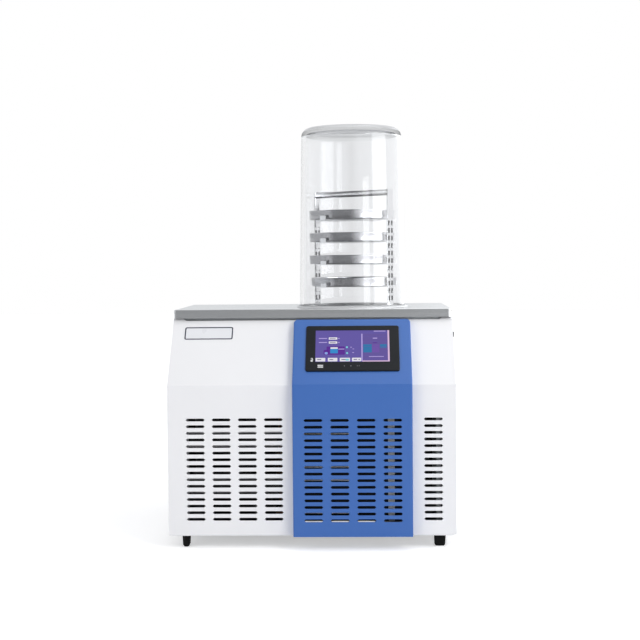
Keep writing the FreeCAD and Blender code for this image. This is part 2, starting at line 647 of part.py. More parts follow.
def make_evaporator_and_foam():
    """A refrigerated plate curved round the trap's left half, and the foam block round both."""
    inner = TRAP_RADIUS + EVAPORATOR_GAP
    outer = inner + EVAPORATOR_WALL
    ring = [flat_sided([(radius, EVAPORATOR_Z[0]), (radius, EVAPORATOR_Z[1])], ROUND_SIDES)
            for radius in (outer, inner)]
    left_half = box((COVER_X - 2 * TRAP_RADIUS, COVER_X), span(CHAMBER_Y, 4 * TRAP_RADIUS), BLOCK_Z)
    evaporator = ring[0].cut(ring[1]).common(left_half)
    foam = box(span(COVER_X, 2 * BLOCK_HALF), span(CHAMBER_Y, 2 * BLOCK_HALF), BLOCK_Z)
    cavity = flat_bore(AXIS_XY + V(0, 0, TRAP_FLOOR), Z_AXIS, outer + EVAPORATOR_GAP, BLOCK_Z[1], HIDDEN_SIDES)
    through = 2 * BLOCK_HALF
    bores = [cavity, flat_bore(AXIS_XY + V(0, 0, BLOCK_Z[0]), Z_AXIS, DRAIN_RADIUS + SEAM, 60),
             flat_bore(V(COVER_X, CHAMBER_Y, PORT_Z), Y_AXIS, PORT_OUTER + SEAM, through),
             flat_bore(V(AIR_VALVE_X, CHAMBER_Y, PORT_Z), Y_AXIS, AIR_LINE_RADIUS + SEAM, through),
             flat_bore(V(COVER_X, LIQUID_Y, LIQUID_Z), -X_AXIS, PIPE_RADIUS + SEAM, through, 8),
             flat_bore(V(COVER_X, SUCTION_Y, SUCTION_Z), -X_AXIS, PIPE_RADIUS + SEAM, through, 8)]
    return {"evaporator_plate": evaporator, "trap_insulation": foam.cut(bores)}


COMPRESSOR_X = -165.0
COMPRESSOR_Y = 70.0
COMPRESSOR_RADIUS = 78.0
COMPRESSOR_Z = (51.0, 186.0)
COMPRESSOR_LID = (62.0, 201.0)   # radius and top
MOUNT_HEIGHT = 16.0


def compressor_pot():
    low, high = COMPRESSOR_Z
    return flat_sided([(COMPRESSOR_RADIUS, low), (COMPRESSOR_RADIUS, high), (COMPRESSOR_LID[0], COMPRESSOR_LID[1])],
                      HIDDEN_SIDES, V(COMPRESSOR_X, COMPRESSOR_Y, 0))


def make_compressor():
    """A sealed pot on a foot plate, its rubber mounts, and its terminal cover."""
    x, y = COMPRESSOR_X, COMPRESSOR_Y
    pot = compressor_pot()
    plate = box(span(x, 190), span(y, 130), (DECK + MOUNT_HEIGHT, DECK + MOUNT_HEIGHT + 4))
    mounts = [box(span(x + dx, 20), span(y + dy, 20), (DECK, DECK + MOUNT_HEIGHT))
              for dx in (-82, 82) for dy in (-52, 52)]
    cover = box(span(x, 44), (y + COMPRESSOR_RADIUS - 5, y + COMPRESSOR_RADIUS + 12), (100, 160))
    return {"compressor": fused([pot, plate]), "compressor_mounts": Part.makeCompound(mounts),
            "compressor_terminal_cover": cover.cut(pot)}


CONDENSER_X = span(COVER_X, 236.0)
CONDENSER_Y = (FRONT + 26.0, FRONT + 66.0)
CONDENSER_Z = (DECK, 292.0)
SHROUD_BACK = CONDENSER_Y[1] + 34.0
FAN_RADIUS = 88.0
FAN_Z = 150.0
FAN_BLADES = 5
FAN_HUB = (20.0, 18.0)           # radius and length
FAN_SHAFT = 4.0
RUNNING_FIT = 0.06               # radial clearance of what turns on a shaft or a pin
MOTOR_HALF = 30.0
MOTOR_Y = (SHROUD_BACK + 6.0, SHROUD_BACK + 52.0)
BRACKET_Y = (SHROUD_BACK + 40.0, SHROUD_BACK + 44.0)


def make_condenser_and_fan():
    """A finned block, a shroud behind it, and a fan that a motor on a bracket turns."""
    core = box((CONDENSER_X[0] + 10, CONDENSER_X[1] - 10), CONDENSER_Y, (CONDENSER_Z[0] + 8, CONDENSER_Z[1] - 8))
    ends = [box((x, x + 10), CONDENSER_Y, CONDENSER_Z) for x in (CONDENSER_X[0], CONDENSER_X[1] - 10)]
    shroud = box(CONDENSER_X, (CONDENSER_Y[1], SHROUD_BACK), CONDENSER_Z)
    hollow = box((CONDENSER_X[0] + SHEET, CONDENSER_X[1] - SHEET), (CONDENSER_Y[1] - 1, SHROUD_BACK - SHEET),
                 (CONDENSER_Z[0] + SHEET, CONDENSER_Z[1] - SHEET))
    mouth = flat_bore(V(COVER_X, CONDENSER_Y[1], FAN_Z), Y_AXIS, FAN_RADIUS + 4, 60, TRAY_SIDES)
    motor = box(span(COVER_X, 2 * MOTOR_HALF), MOTOR_Y, span(FAN_Z, 2 * MOTOR_HALF))
    shaft = rod(V(COVER_X, SHROUD_BACK - 14, FAN_Z), Y_AXIS, FAN_SHAFT, 20)
    half = MOTOR_HALF + 6
    bracket = [box(CONDENSER_X, BRACKET_Y, span(FAN_Z, 16)),
               box(span(COVER_X, 2 * half), BRACKET_Y, span(FAN_Z, 2 * half))]
    for x in (CONDENSER_X[0], CONDENSER_X[1] - 4):
        bracket.append(box((x, x + 4), (SHROUD_BACK, BRACKET_Y[1]), span(FAN_Z, 16)))
    return {"condenser": fused([core] + ends), "fan_shroud": shroud.cut([hollow, mouth]),
            "fan": make_fan(), "fan_motor": fused([motor, shaft]), "fan_bracket": fused(bracket).cut(motor)}


def make_fan():
    hub = flat_rod(V(0, -FAN_HUB[1] / 2, 0), Y_AXIS, FAN_HUB[0], FAN_HUB[1], 16)
    blades = []
    for number in range(FAN_BLADES):
        blade = polygon([V(-14, 0, 12), V(14, 0, 12), V(34, 0, FAN_RADIUS - 8), V(-20, 0, FAN_RADIUS - 3)])
        blade = blade.extrude(Y_AXIS * 1.6)
        blade.rotate(V(0, 0, 0), Z_AXIS, 22)
        blade.rotate(V(0, 0, 0), Y_AXIS, number * 360.0 / FAN_BLADES)
        blades.append(blade)
    bore = rod(V(0, -FAN_HUB[1], 0), Y_AXIS, FAN_SHAFT + RUNNING_FIT, 2 * FAN_HUB[1])
    return fused([hub] + blades).cut(bore).translated(V(COVER_X, SHROUD_BACK - 9, FAN_Z))


DRIER_XY = (-75.0, -100.0)
DRIER_Z = (100.0, 190.0)
DRIER_RADIUS = 10.0


def make_refrigerant_lines():
    """Copper lines from the compressor to the condenser, the drier and the evaporator, and back."""
    condenser_y = sum(CONDENSER_Y) / 2
    condenser_x = CONDENSER_X[0]
    x, y = DRIER_XY
    trap_side = COVER_X - TRAP_RADIUS + 20
    plate_radius = TRAP_RADIUS + EVAPORATOR_GAP + EVAPORATOR_WALL
    plate = flat_sided([(plate_radius, BLOCK_Z[0]), (plate_radius, BLOCK_Z[1])], ROUND_SIDES)
    pot = compressor_pot()
    discharge = [V(-200, 50, COMPRESSOR_LID[1]), V(-200, 50, 270), V(-50, 50, 270), V(-50, condenser_y, 270),
                 V(condenser_x, condenser_y, 270)]
    liquid = [V(condenser_x, condenser_y, 70), V(x, condenser_y, 70), V(x, y, 70), V(x, y, DRIER_Z[0])]
    capillary = [V(x, y, DRIER_Z[1]), V(x, y, LIQUID_Z), V(x, LIQUID_Y, LIQUID_Z),
                 V(trap_side, LIQUID_Y, LIQUID_Z)]
    suction = [V(trap_side, SUCTION_Y, SUCTION_Z), V(-62, SUCTION_Y, SUCTION_Z), V(-62, SUCTION_Y, 150),
               V(-110, SUCTION_Y, 150)]
    return {"discharge_line": pipe(discharge, PIPE_RADIUS), "liquid_line": pipe(liquid, PIPE_RADIUS),
            "filter_drier": flat_rod(V(x, y, DRIER_Z[0]), Z_AXIS, DRIER_RADIUS, DRIER_Z[1] - DRIER_Z[0], 16),
            "evaporator_line": pipe(capillary, PIPE_RADIUS).cut(plate),
            "suction_line": pipe(suction, PIPE_RADIUS).cut([plate, pot])}


# ---------------------------------------------------------------- vacuum, air and drain fittings
PORT_OUTER = 14.0
PORT_FLANGE = (20.0, 3.0)        # radius and thickness
AIR_LINE_RADIUS = 5.0
AIR_LINE_BORE = 3.5
DRAIN_RADIUS = 8.0
DRAIN_BORE = 6.0
VALVE_HALF = 11.0
VALVE_LENGTH = 30.0
PIN_RADIUS = 3.0
KNOB = (13.0, 14.0)              # radius and length


def trap_can():
    """The space inside the trap's outer wall."""
    return flat_sided([(TRAP_RADIUS, BLOCK_Z[0]), (TRAP_RADIUS, BLOCK_Z[1])], ROUND_SIDES)


def make_vacuum_port():
    """A clamp-flanged port from the trap to the pump, with a gauge on its tube, indoors."""
    end = REAR + PORT_REACH
    start = V(COVER_X, CHAMBER_Y + TRAP_RADIUS - 5, PORT_Z)
    tube = flat_rod(start, Y_AXIS, PORT_OUTER, end - start.y, 16)
    flange = rod(V(COVER_X, end - PORT_FLANGE[1], PORT_Z), Y_AXIS, PORT_FLANGE[0], PORT_FLANGE[1])
    port = fused([tube, flange]).cut([flat_rod(start, Y_AXIS, PORT_BORE, end, 16), trap_can()])
    gauge = box(span(COVER_X, 22), (172, 200), (PORT_Z + 8, PORT_Z + 44))
    return {"vacuum_port": port, "vacuum_sensor": gauge.cut(tube)}


def make_air_valve():
    """A small line that lets air back in, with a hand knob on the back panel."""
    start = V(AIR_VALVE_X, CHAMBER_Y + 60, PORT_Z)
    line = flat_rod(start, Y_AXIS, AIR_LINE_RADIUS, REAR - start.y)
    line = line.cut([flat_rod(start, Y_AXIS, AIR_LINE_BORE, REAR), trap_can()])
    body_end = V(AIR_VALVE_X, REAR + 16, PORT_Z)
    body = box(span(AIR_VALVE_X, 18), (REAR, body_end.y), span(PORT_Z, 18))
    pin = flat_rod(body_end, Y_AXIS, PIN_RADIUS, KNOB[1] - 3)
    knob = flat_rod(body_end + Y_AXIS * SEAM, Y_AXIS, KNOB[0], KNOB[1])
    bore = flat_bore(body_end, Y_AXIS, PIN_RADIUS + RUNNING_FIT, KNOB[1] - 2.5)
    return {"air_line": line, "air_valve_body": fused([body, pin]), "air_valve_knob": knob.cut(bore)}


def make_drain():
    """A drain from the trap's floor to a ball valve and a hose nozzle at the back."""
    runs = [V(COVER_X, CHAMBER_Y, TRAP_FLOOR), V(COVER_X, CHAMBER_Y, DRAIN_Z), V(COVER_X, REAR, DRAIN_Z)]
    tube = pipe(runs, DRAIN_RADIUS).cut(pipe(runs, DRAIN_BORE))
    valve_y = (REAR, REAR + VALVE_LENGTH)
    body = box(span(COVER_X, 2 * VALVE_HALF), valve_y, span(DRAIN_Z, 2 * VALVE_HALF))
    body = body.makeChamfer(4.0, [e for e in body.Edges if abs(e.Length - VALVE_LENGTH) < 0.01])
    top = DRAIN_Z + VALVE_HALF
    stem_y = REAR + VALVE_LENGTH / 2
    stem_foot = V(COVER_X, stem_y, top)
    stem = flat_rod(stem_foot, Z_AXIS, PIN_RADIUS, 9)
    lever = box((COVER_X - 7, COVER_X + 44), span(stem_y, 12), (top + 4, top + 6.5))
    lever = lever.makeChamfer(3.5, [e for e in lever.Edges if abs(e.Length - 2.5) < 0.01])
    lever = lever.cut(flat_bore(stem_foot, Z_AXIS, PIN_RADIUS + RUNNING_FIT, 9))
    hose_end = V(COVER_X, valve_y[1], DRAIN_Z)
    nozzle = rod(hose_end, Y_AXIS, 5.0, DRAIN_REACH - VALVE_LENGTH)
    nozzle = nozzle.cut(flat_rod(hose_end + Y_AXIS, Y_AXIS, 3.0, DRAIN_REACH))
    return {"drain_tube": tube, "drain_valve_body": fused([body, stem]), "drain_valve_lever": lever,
            "drain_nozzle": nozzle}


# ---------------------------------------------------------------- switch, sockets and supply
SWITCH_FLANGE = (24.0, 16.5, 1.5)
SWITCH_WALL = 0.7
SWITCH_TILT = -10.0              # the rocker is drawn switched off
ROCKER = (16.4, 11.0)            # along Y and Z
ROCKER_X = (-3.0, 5.5)           # behind and in front of its pivot
ROCKER_PIVOT = HALF_WIDTH - 1.5
ROCKER_PIN = 1.2


def make_switch():
    """A rocker on two pins in a frame that snaps into the right side panel."""
    half_z = SWITCH_BODY[1] / 2
    sleeve = box((HALF_WIDTH - 10, HALF_WIDTH), span(SWITCH_Y, SWITCH_BODY[0]), span(SWITCH_Z, SWITCH_BODY[1]))
    flange = box((HALF_WIDTH, HALF_WIDTH + SWITCH_FLANGE[2]), span(SWITCH_Y, SWITCH_FLANGE[0]),
                 span(SWITCH_Z, SWITCH_FLANGE[1]))
    hollow = box((HALF_WIDTH - 8.5, HALF_WIDTH + 5), span(SWITCH_Y, SWITCH_BODY[0] - 2 * SWITCH_WALL),
                 span(SWITCH_Z, SWITCH_BODY[1] - 2 * SWITCH_WALL))
    low_end = V(ROCKER_PIVOT, SWITCH_Y, SWITCH_Z - half_z)
    holes = flat_bore(low_end, Z_AXIS, ROCKER_PIN + RUNNING_FIT, 2 * half_z)
    rocker = box((ROCKER_PIVOT + ROCKER_X[0], ROCKER_PIVOT + ROCKER_X[1]), span(SWITCH_Y, ROCKER[0]),
                 span(SWITCH_Z, ROCKER[1]))
    pins = flat_rod(low_end + Z_AXIS * 0.1, Z_AXIS, ROCKER_PIN, 2 * half_z - 0.2)
    rocker = fused([rocker, pins])
    rocker.rotate(V(ROCKER_PIVOT, SWITCH_Y, 0), Z_AXIS, SWITCH_TILT)
    return {"switch_frame": fused([sleeve, flange]).cut([hollow, holes]), "power_rocker": rocker}


SOCKET_FLANGE = (50.0, 30.0, 2.5)
SOCKET_RECESS = (24.4, 16.6)
CONTACTS = ((0.0, 3.5), (-7.0, -3.5), (7.0, -3.5))


def socket_housing(z):
    """A flanged appliance socket in the back panel."""
    body = box(span(SOCKET_X, SOCKET_BODY[0]), (REAR - 26, REAR), span(z, SOCKET_BODY[1]))
    flange = box(span(SOCKET_X, SOCKET_FLANGE[0]), (REAR, REAR + SOCKET_FLANGE[2]), span(z, SOCKET_FLANGE[1]))
    return fused([body, flange])


def make_sockets():
    """The mains inlet with three pins in a recess, and the outlet that feeds the pump."""
    face = REAR + SOCKET_FLANGE[2]
    recess = box(span(SOCKET_X, SOCKET_RECESS[0]), (face - 18, face + 1), span(INLET_Z, SOCKET_RECESS[1]))
    pins = [box(span(SOCKET_X + dx, 2.0), (face - 18, face - 3), span(INLET_Z + dz, 4.0)) for dx, dz in CONTACTS]
    slots = [box(span(SOCKET_X + dx, 2.4), (face - 12, face + 1), span(OUTLET_Z + dz, 4.6))
             for dx, dz in CONTACTS]
    return {"power_inlet": fused([socket_housing(INLET_Z).cut(recess)] + pins),
            "pump_outlet": socket_housing(OUTLET_Z).cut(slots)}


def make_power_supply():
    supply = box((FRAME_OUT - FRAME_SHEET - 72, FRAME_OUT - FRAME_SHEET), (-40, 150), (300, 430))
    return {"power_supply_box": supply}


# ---------------------------------------------------------------- write every piece
ROCKER_TIP = math.radians(-SWITCH_TILT)
SWITCH_REACH = (ROCKER_X[1] * math.cos(ROCKER_TIP) + ROCKER[0] / 2 * math.sin(ROCKER_TIP)
                - (HALF_WIDTH - ROCKER_PIVOT))
OVERALL_MIDDLE = V(SWITCH_REACH / 2, (COVER_FRONT + REAR + DRAIN_REACH) / 2, 0)

MAKERS = [make_front_panels, make_centre_cover, make_screen, make_side_panels, make_rear_panel,
          make_base_pan, make_feet, make_inner_frame, make_top_plate, make_trap_well, make_chamber,
          make_rack, make_shelves_and_trays, make_evaporator_and_foam, make_compressor,
          make_condenser_and_fan, make_refrigerant_lines, make_vacuum_port, make_air_valve,
          make_drain, make_switch, make_sockets, make_power_supply]

os.makedirs("parts", exist_ok=True)
for maker in MAKERS:
    for name, shape in maker().items():
        shape.translated(-OVERALL_MIDDLE).exportStep("parts/" + name + ".step")
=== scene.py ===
import json
import math

import bmesh
import bpy
from mathutils import Matrix, Vector


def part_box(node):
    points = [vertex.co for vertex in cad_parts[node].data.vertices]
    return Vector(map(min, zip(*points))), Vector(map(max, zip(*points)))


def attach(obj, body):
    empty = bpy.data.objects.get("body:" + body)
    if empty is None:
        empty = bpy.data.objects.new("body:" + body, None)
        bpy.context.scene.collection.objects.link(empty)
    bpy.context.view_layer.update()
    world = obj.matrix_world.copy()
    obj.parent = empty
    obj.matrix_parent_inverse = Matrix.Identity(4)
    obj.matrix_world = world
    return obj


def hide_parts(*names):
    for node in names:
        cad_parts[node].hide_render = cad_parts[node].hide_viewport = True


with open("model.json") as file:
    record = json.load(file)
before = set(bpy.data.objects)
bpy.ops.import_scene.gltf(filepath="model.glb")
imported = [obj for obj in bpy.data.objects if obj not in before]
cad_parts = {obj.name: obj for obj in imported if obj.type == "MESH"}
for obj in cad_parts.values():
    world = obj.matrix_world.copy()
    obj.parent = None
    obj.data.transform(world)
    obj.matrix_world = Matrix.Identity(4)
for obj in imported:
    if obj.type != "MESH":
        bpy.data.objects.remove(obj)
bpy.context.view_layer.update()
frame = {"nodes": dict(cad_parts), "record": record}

# The dressed freeze dryer. Metres, in the frame's own axes: +X right, +Y to the back, +Z up.

MM = 0.001


# ---------------------------------------------------------------- places taken from the frame
def middle(node):
    """Middle of a CAD node's box."""
    low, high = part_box(node)
    return (Vector(low) + Vector(high)) / 2


def size(node):
    """Width, depth and height of a CAD node's box."""
    low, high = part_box(node)
    return Vector(high) - Vector(low)


AXIS = middle("chamber")
BASE_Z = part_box("chamber")[0][2]
ROOF_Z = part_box("chamber")[1][2]
BASE_RADIUS = size("chamber").x / 2
TOP_RADIUS = BASE_RADIUS - 6.3 * MM          # the chamber tapers a little
WALL = 8 * MM
ROOF = 12 * MM
SHOULDER = 20 * MM                           # radius of the round edge of the roof

SLOPE = math.atan2(114.0, 133.0)             # lean of the front: 114 mm back in 133 mm up
RIGHT = Vector((1, 0, 0))
UP_SLOPE = Vector((0, math.sin(SLOPE), math.cos(SLOPE)))
OUTWARD = Vector((0, -math.cos(SLOPE), math.sin(SLOPE)))
PANEL_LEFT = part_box("left_front_panel")[0][0]
PANEL_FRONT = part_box("left_front_panel")[0][1]
BEND_Z = 351 * MM                            # where the front panels bend back
COVER_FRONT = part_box("centre_cover")[0][1]
REAR_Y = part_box("rear_panel")[1][1]
CABINET_MIDDLE = Vector((0, 0, 0.25))
RACK_TURN = math.radians(-37)                # of the rack about the chamber's axis
GLASS = 1.2 * MM                             # thickness of the display's glass


# ---------------------------------------------------------------- material helpers
def ramp(tree, source, start, end, low=0.0, high=1.0):
    """A value that runs from low to high while the source runs from start to end."""
    made = tree.nodes.new("ShaderNodeMapRange")
    for socket, value in (("From Min", start), ("From Max", end), ("To Min", low),
                          ("To Max", high)):
        made.inputs[socket].default_value = value
    tree.links.new(source, made.inputs["Value"])
    return made.outputs["Result"]


def maths(tree, operation, first, second):
    """Two values put together. The second may be a plain number."""
    made = tree.nodes.new("ShaderNodeMath")
    made.operation = operation
    tree.links.new(first, made.inputs[0])
    if isinstance(second, float):
        made.inputs[1].default_value = second
    else:
        tree.links.new(second, made.inputs[1])
    return made.outputs["Value"]


def mixed(tree, share, first, second):
    """The first shader where share is 0, the second where it is 1."""
    made = tree.nodes.new("ShaderNodeMixShader")
    tree.links.new(share, made.inputs["Fac"])
    tree.links.new(first, made.inputs[1])
    tree.links.new(second, made.inputs[2])
    return made.outputs["Shader"]


def unmirrored(tree, path):
    """1 for a ray that nothing has mirrored on its way."""
    return maths(tree, "LESS_THAN", path.outputs["Glossy Depth"], 0.5)


class Shader:
    """A Principled material and short ways to drive its sockets."""

    def __init__(self, name, color, roughness, metallic=0.0):
        self.material = bpy.data.materials.new(name)
        self.material.use_nodes = True
        self.tree = self.material.node_tree
        self.bsdf = self.tree.nodes["Principled BSDF"]
        self.color = tuple(color) + (1.0,)
        self.bsdf.inputs["Base Color"].default_value = self.color
        self.bsdf.inputs["Roughness"].default_value = roughness
        self.bsdf.inputs["Metallic"].default_value = metallic
        self.material.diffuse_color = self.color

    def set(self, **values):
        """Plain values of the shader's own sockets."""
        for key, value in values.items():
            self.bsdf.inputs[key.replace("_", " ")].default_value = value

    def node(self, kind, **settings):
        """A new node of this kind, with its own settings."""
        made = self.tree.nodes.new(kind)
        for key, value in settings.items():
            setattr(made, key, value)
        return made

    def join(self, source, target):
        """Feeds one node's output into another's input."""
        self.tree.links.new(source, target)

    def noise(self, scale, stretch=(1, 1, 1), detail=4.0, rough=0.55):
        """A noise of so many grains a metre, finer along the axes with a larger stretch."""
        place = self.node("ShaderNodeTexCoord")
        mapping = self.node("ShaderNodeMapping")
        mapping.inputs["Scale"].default_value = stretch
        texture = self.node("ShaderNodeTexNoise")
        texture.inputs["Scale"].default_value = scale
        texture.inputs["Detail"].default_value = detail
        texture.inputs["Roughness"].default_value = rough
        self.join(place.outputs["Object"], mapping.inputs["Vector"])
        self.join(mapping.outputs["Vector"], texture.inputs["Vector"])
        return texture.outputs["Fac"]

    def vary_color(self, factor, amount):
        """Base colour a little darker and lighter than its mean."""
        level = ramp(self.tree, factor, 0.25, 0.75, 1.0 - amount, 1.0 + amount)
        scale = self.node("ShaderNodeVectorMath", operation="SCALE")
        scale.inputs[0].default_value = self.color[:3]
        self.join(level, scale.inputs["Scale"])
        self.join(scale.outputs["Vector"], self.bsdf.inputs["Base Color"])
        return scale.outputs["Vector"]

    def vary_roughness(self, factor, low, high):
        """Roughness that wanders between low and high."""
        self.join(ramp(self.tree, factor, 0.3, 0.7, low, high), self.bsdf.inputs["Roughness"])

    def bump(self, factor, height, strength):
        """Fine relief, height metres high."""
        bump = self.node("ShaderNodeBump")
        bump.inputs["Distance"].default_value = height
        bump.inputs["Strength"].default_value = strength
        self.join(factor, bump.inputs["Height"])
        self.join(bump.outputs["Normal"], self.bsdf.inputs["Normal"])


def powder_coat(name, color, roughness=0.38, inner_shade_color=None):
    """Powder coat: a fine orange peel, faint handling marks and a slightly uneven sheen.

    With an inner shade colour, faces that look to the middle of the cabinet take that dark colour
    as painted shade.
    """
    shader = Shader(name, color, roughness)
    shader.bump(shader.noise(900, detail=2.0), 0.00006, 0.25)
    shader.vary_roughness(shader.noise(9), roughness - 0.05, roughness + 0.07)
    painted = shader.vary_color(shader.noise(3.5, detail=3.0), 0.012)
    if inner_shade_color:
        place = shader.node("ShaderNodeTexCoord")
        from_middle = shader.node("ShaderNodeVectorMath", operation="SUBTRACT")
        from_middle.inputs[1].default_value = CABINET_MIDDLE
        outward = shader.node("ShaderNodeVectorMath", operation="DOT_PRODUCT")
        cover = shader.node("ShaderNodeMix", data_type="RGBA")
        cover.inputs["B"].default_value = inner_shade_color + (1.0,)
        shader.join(place.outputs["Object"], from_middle.inputs[0])
        shader.join(from_middle.outputs["Vector"], outward.inputs[0])
        shader.join(place.outputs["Normal"], outward.inputs[1])
        inside = maths(shader.tree, "LESS_THAN", outward.outputs["Value"], 0.0)
        shader.join(inside, cover.inputs["Factor"])
        shader.join(painted, cover.inputs["A"])
        shader.join(cover.outputs["Result"], shader.bsdf.inputs["Base Color"])
    return shader.material


def brushed_metal(name, color, roughness, stretch, height=0.00003):
    """Metal with fine scratches that run along the axis with the least stretch."""
    shader = Shader(name, color, roughness, 1.0)
    grain = shader.noise(260, stretch, detail=5.0, rough=0.7)
    shader.bump(grain, height, 0.35)
    shader.vary_roughness(grain, roughness - 0.08, roughness + 0.1)
    shader.vary_color(shader.noise(6, stretch, detail=4.0), 0.05)
    return shader.material


def blasted_steel():
    """Bead-blasted steel: pale and mostly dull."""
    shader = Shader("satin_steel", (0.84, 0.85, 0.86), 0.35, 0.35)
    grain = shader.noise(900, detail=3.0)
    shader.bump(grain, 0.00004, 0.4)
    shader.vary_roughness(grain, 0.3, 0.45)
    shader.vary_color(shader.noise(8), 0.03)
    return shader.material


def reflection_painted_steel(name, axis, reflection_tones, grain, roughness):
    """Polished round steel with a painted reflection: its colour runs from dark to bright with the
    way a face looks.

    The painted reflection's bands are (share, level) pairs: 0 looks down the axis, 1 looks up it.
    """
    shader = Shader(name, (0.7, 0.7, 0.71), roughness, 1.0)
    place = shader.node("ShaderNodeTexCoord")
    axes = shader.node("ShaderNodeSeparateXYZ")
    lines = shader.node("ShaderNodeValToRGB")
    ends = lines.color_ramp.elements
    for stop, (position, level) in zip((ends[0], ends[1]), (reflection_tones[0], reflection_tones[-1])):
        stop.position, stop.color = position, (level, level, level * 1.02, 1)
    for position, level in reflection_tones[1:-1]:
        ends.new(position).color = (level, level, level * 1.02, 1)
    shader.join(place.outputs["Normal"], axes.inputs["Vector"])
    shader.join(ramp(shader.tree, axes.outputs[axis], -1.0, 1.0), lines.inputs["Fac"])
    shader.join(lines.outputs["Color"], shader.bsdf.inputs["Base Color"])
    scratches = shader.noise(260, grain, detail=5.0, rough=0.7)
    shader.bump(scratches, 0.00002, 0.3)
    shader.vary_roughness(scratches, roughness - 0.07, roughness + 0.07)
    return shader.material


def moulded(name, color, roughness, specular=0.5):
    """Moulded plastic or rubber with a fine spark-eroded grain."""
    shader = Shader(name, color, roughness)
    shader.set(Specular_IOR_Level=specular)
    shader.bump(shader.noise(1400, detail=2.0), 0.00004, 0.35)
    shader.vary_roughness(shader.noise(25), roughness - 0.06, roughness + 0.06)
    return shader.material


def clear_acrylic():
    """Clear acrylic that bends the light, a little grey, with faint upright streaks."""
    shader = Shader("clear_acrylic", (0.905, 0.91, 0.92), 0.0)
    shader.set(Transmission_Weight=1.0, IOR=1.49)
    shader.vary_roughness(shader.noise(14, (1, 1, 0.2), detail=6.0), 0.0, 0.02)
    return shader.material


def acrylic_shoulder(name, gloss_level, share, start=0.35):
    """Polished acrylic seen through without bending, with gloss where it turns away.

    The gloss begins at start (0 faces the eye, 1 is edge-on) and grows to share. A low gloss_level
    paints the edge dark, as painted shade.
    """
    shader = Shader(name, (0.8, 0.81, 0.82), 0.03)
    through = shader.node("ShaderNodeBsdfTransparent")
    through.inputs["Color"].default_value = (0.93, 0.935, 0.94, 1)
    gloss = shader.node("ShaderNodeBsdfGlossy")
    gloss.inputs["Color"].default_value = (gloss_level, gloss_level, gloss_level * 1.02, 1)
    gloss.inputs["Roughness"].default_value = 0.03
    edge = shader.node("ShaderNodeLayerWeight")
    edge.inputs["Blend"].default_value = 0.5
    gloss_share = ramp(shader.tree, edge.outputs["Facing"], start, 1.0, 0.04, share)
    surface = mixed(shader.tree, gloss_share, through.outputs["BSDF"], gloss.outputs["BSDF"])
    shader.join(surface, shader.tree.nodes["Material Output"].inputs["Surface"])
    return shader.material


def silicone():
    """Milky clear-grey silicone."""
    shader = Shader("seal_silicone", (0.84, 0.85, 0.865), 0.35)
    shader.set(Transmission_Weight=0.35, IOR=1.41)
    shader.bump(shader.noise(600, detail=2.0), 0.00004, 0.3)
    shader.vary_roughness(shader.noise(25), 0.3, 0.42)
    return shader.material


def lit(name, color):
    """A field of the display: it shines in its own colour under a gloss glass."""
    shader = Shader(name, (0.01, 0.01, 0.012), 0.12)
    shader.set(Specular_IOR_Level=0.1, Emission_Color=color + (1.0,), Emission_Strength=1.0)
    shader.vary_roughness(shader.noise(60), 0.08, 0.16)
    return shader.material


def srgb(red, green, blue):
    """Linear colour of an 8-bit display colour."""
    return tuple((c / 255 / 12.92) if c < 11 else ((c / 255 + 0.055) / 1.055) ** 2.4
                 for c in (red, green, blue))


def foam_material():
    """Poured insulation with an open, crumbly skin."""
    shader = Shader("poured_foam", (0.80, 0.74, 0.55), 0.9)
    shader.bump(shader.noise(350, detail=6.0), 0.0008, 0.7)
    shader.vary_color(shader.noise(30), 0.12)
    return shader.material


# ---------------------------------------------------------------- finishes of the CAD pieces
# Painted shade: near-black on the inner faces of the white and blue panels and of the rear louvres.
INNER_PAINTED_SHADE = (0.012, 0.012, 0.013)
WHITE = powder_coat("white_powder_coat", srgb(246, 246, 248), inner_shade_color=INNER_PAINTED_SHADE)
BLUE = powder_coat("blue_powder_coat", srgb(60, 108, 184), 0.34, INNER_PAINTED_SHADE)
PLATE_STEEL = brushed_metal("brushed_work_top", (0.66, 0.67, 0.68), 0.17, (1, 30, 30))
SATIN_STEEL = blasted_steel()
RACK_STEEL = brushed_metal("rack_steel", (0.90, 0.90, 0.91), 0.16, (24, 24, 1), 0.00001)
# Painted reflection: the handle tube's colour runs in dark and bright bands with the way each face
# looks up or down.
HANDLE_PAINTED_REFLECTION = reflection_painted_steel("handle_tube_painted_reflection", "Z",
                           ((0.02, 0.75), (0.10, 0.12), (0.30, 0.16), (0.40, 0.92),
                            (0.62, 0.95), (0.76, 0.22), (0.99, 0.10)), (12, 12, 1), 0.17)
# Painted shade: near-black on the cut edges of the rack's slots and on the rims round them.
SLOT_PAINTED_SHADE = moulded("rack_slot_painted_shade", (0.02, 0.02, 0.022), 0.6, specular=0.1)
# Painted reflection: the trays are bright where faces turn to the right and dark where they turn a
# little to the left, as a room would mirror in them.
TRAY_PAINTED_REFLECTION = reflection_painted_steel("spun_steel_painted_reflection", "X",
                         ((0.10, 0.62), (0.25, 0.62), (0.30, 0.30), (0.48, 0.30),
                          (0.56, 0.62), (0.62, 0.97)), (2, 2, 28), 0.20)
ZINC = brushed_metal("zinc_plate", (0.58, 0.60, 0.62), 0.42, (2, 2, 2), 0.00005)
# Painted shade: the condenser's fins, and the evaporator plate, are near-black, standing in for the
# shade inside the cabinet.
FINS_PAINTED_SHADE = brushed_metal("condenser_fins", (0.03, 0.032, 0.035), 0.6, (40, 1, 1), 0.0004)
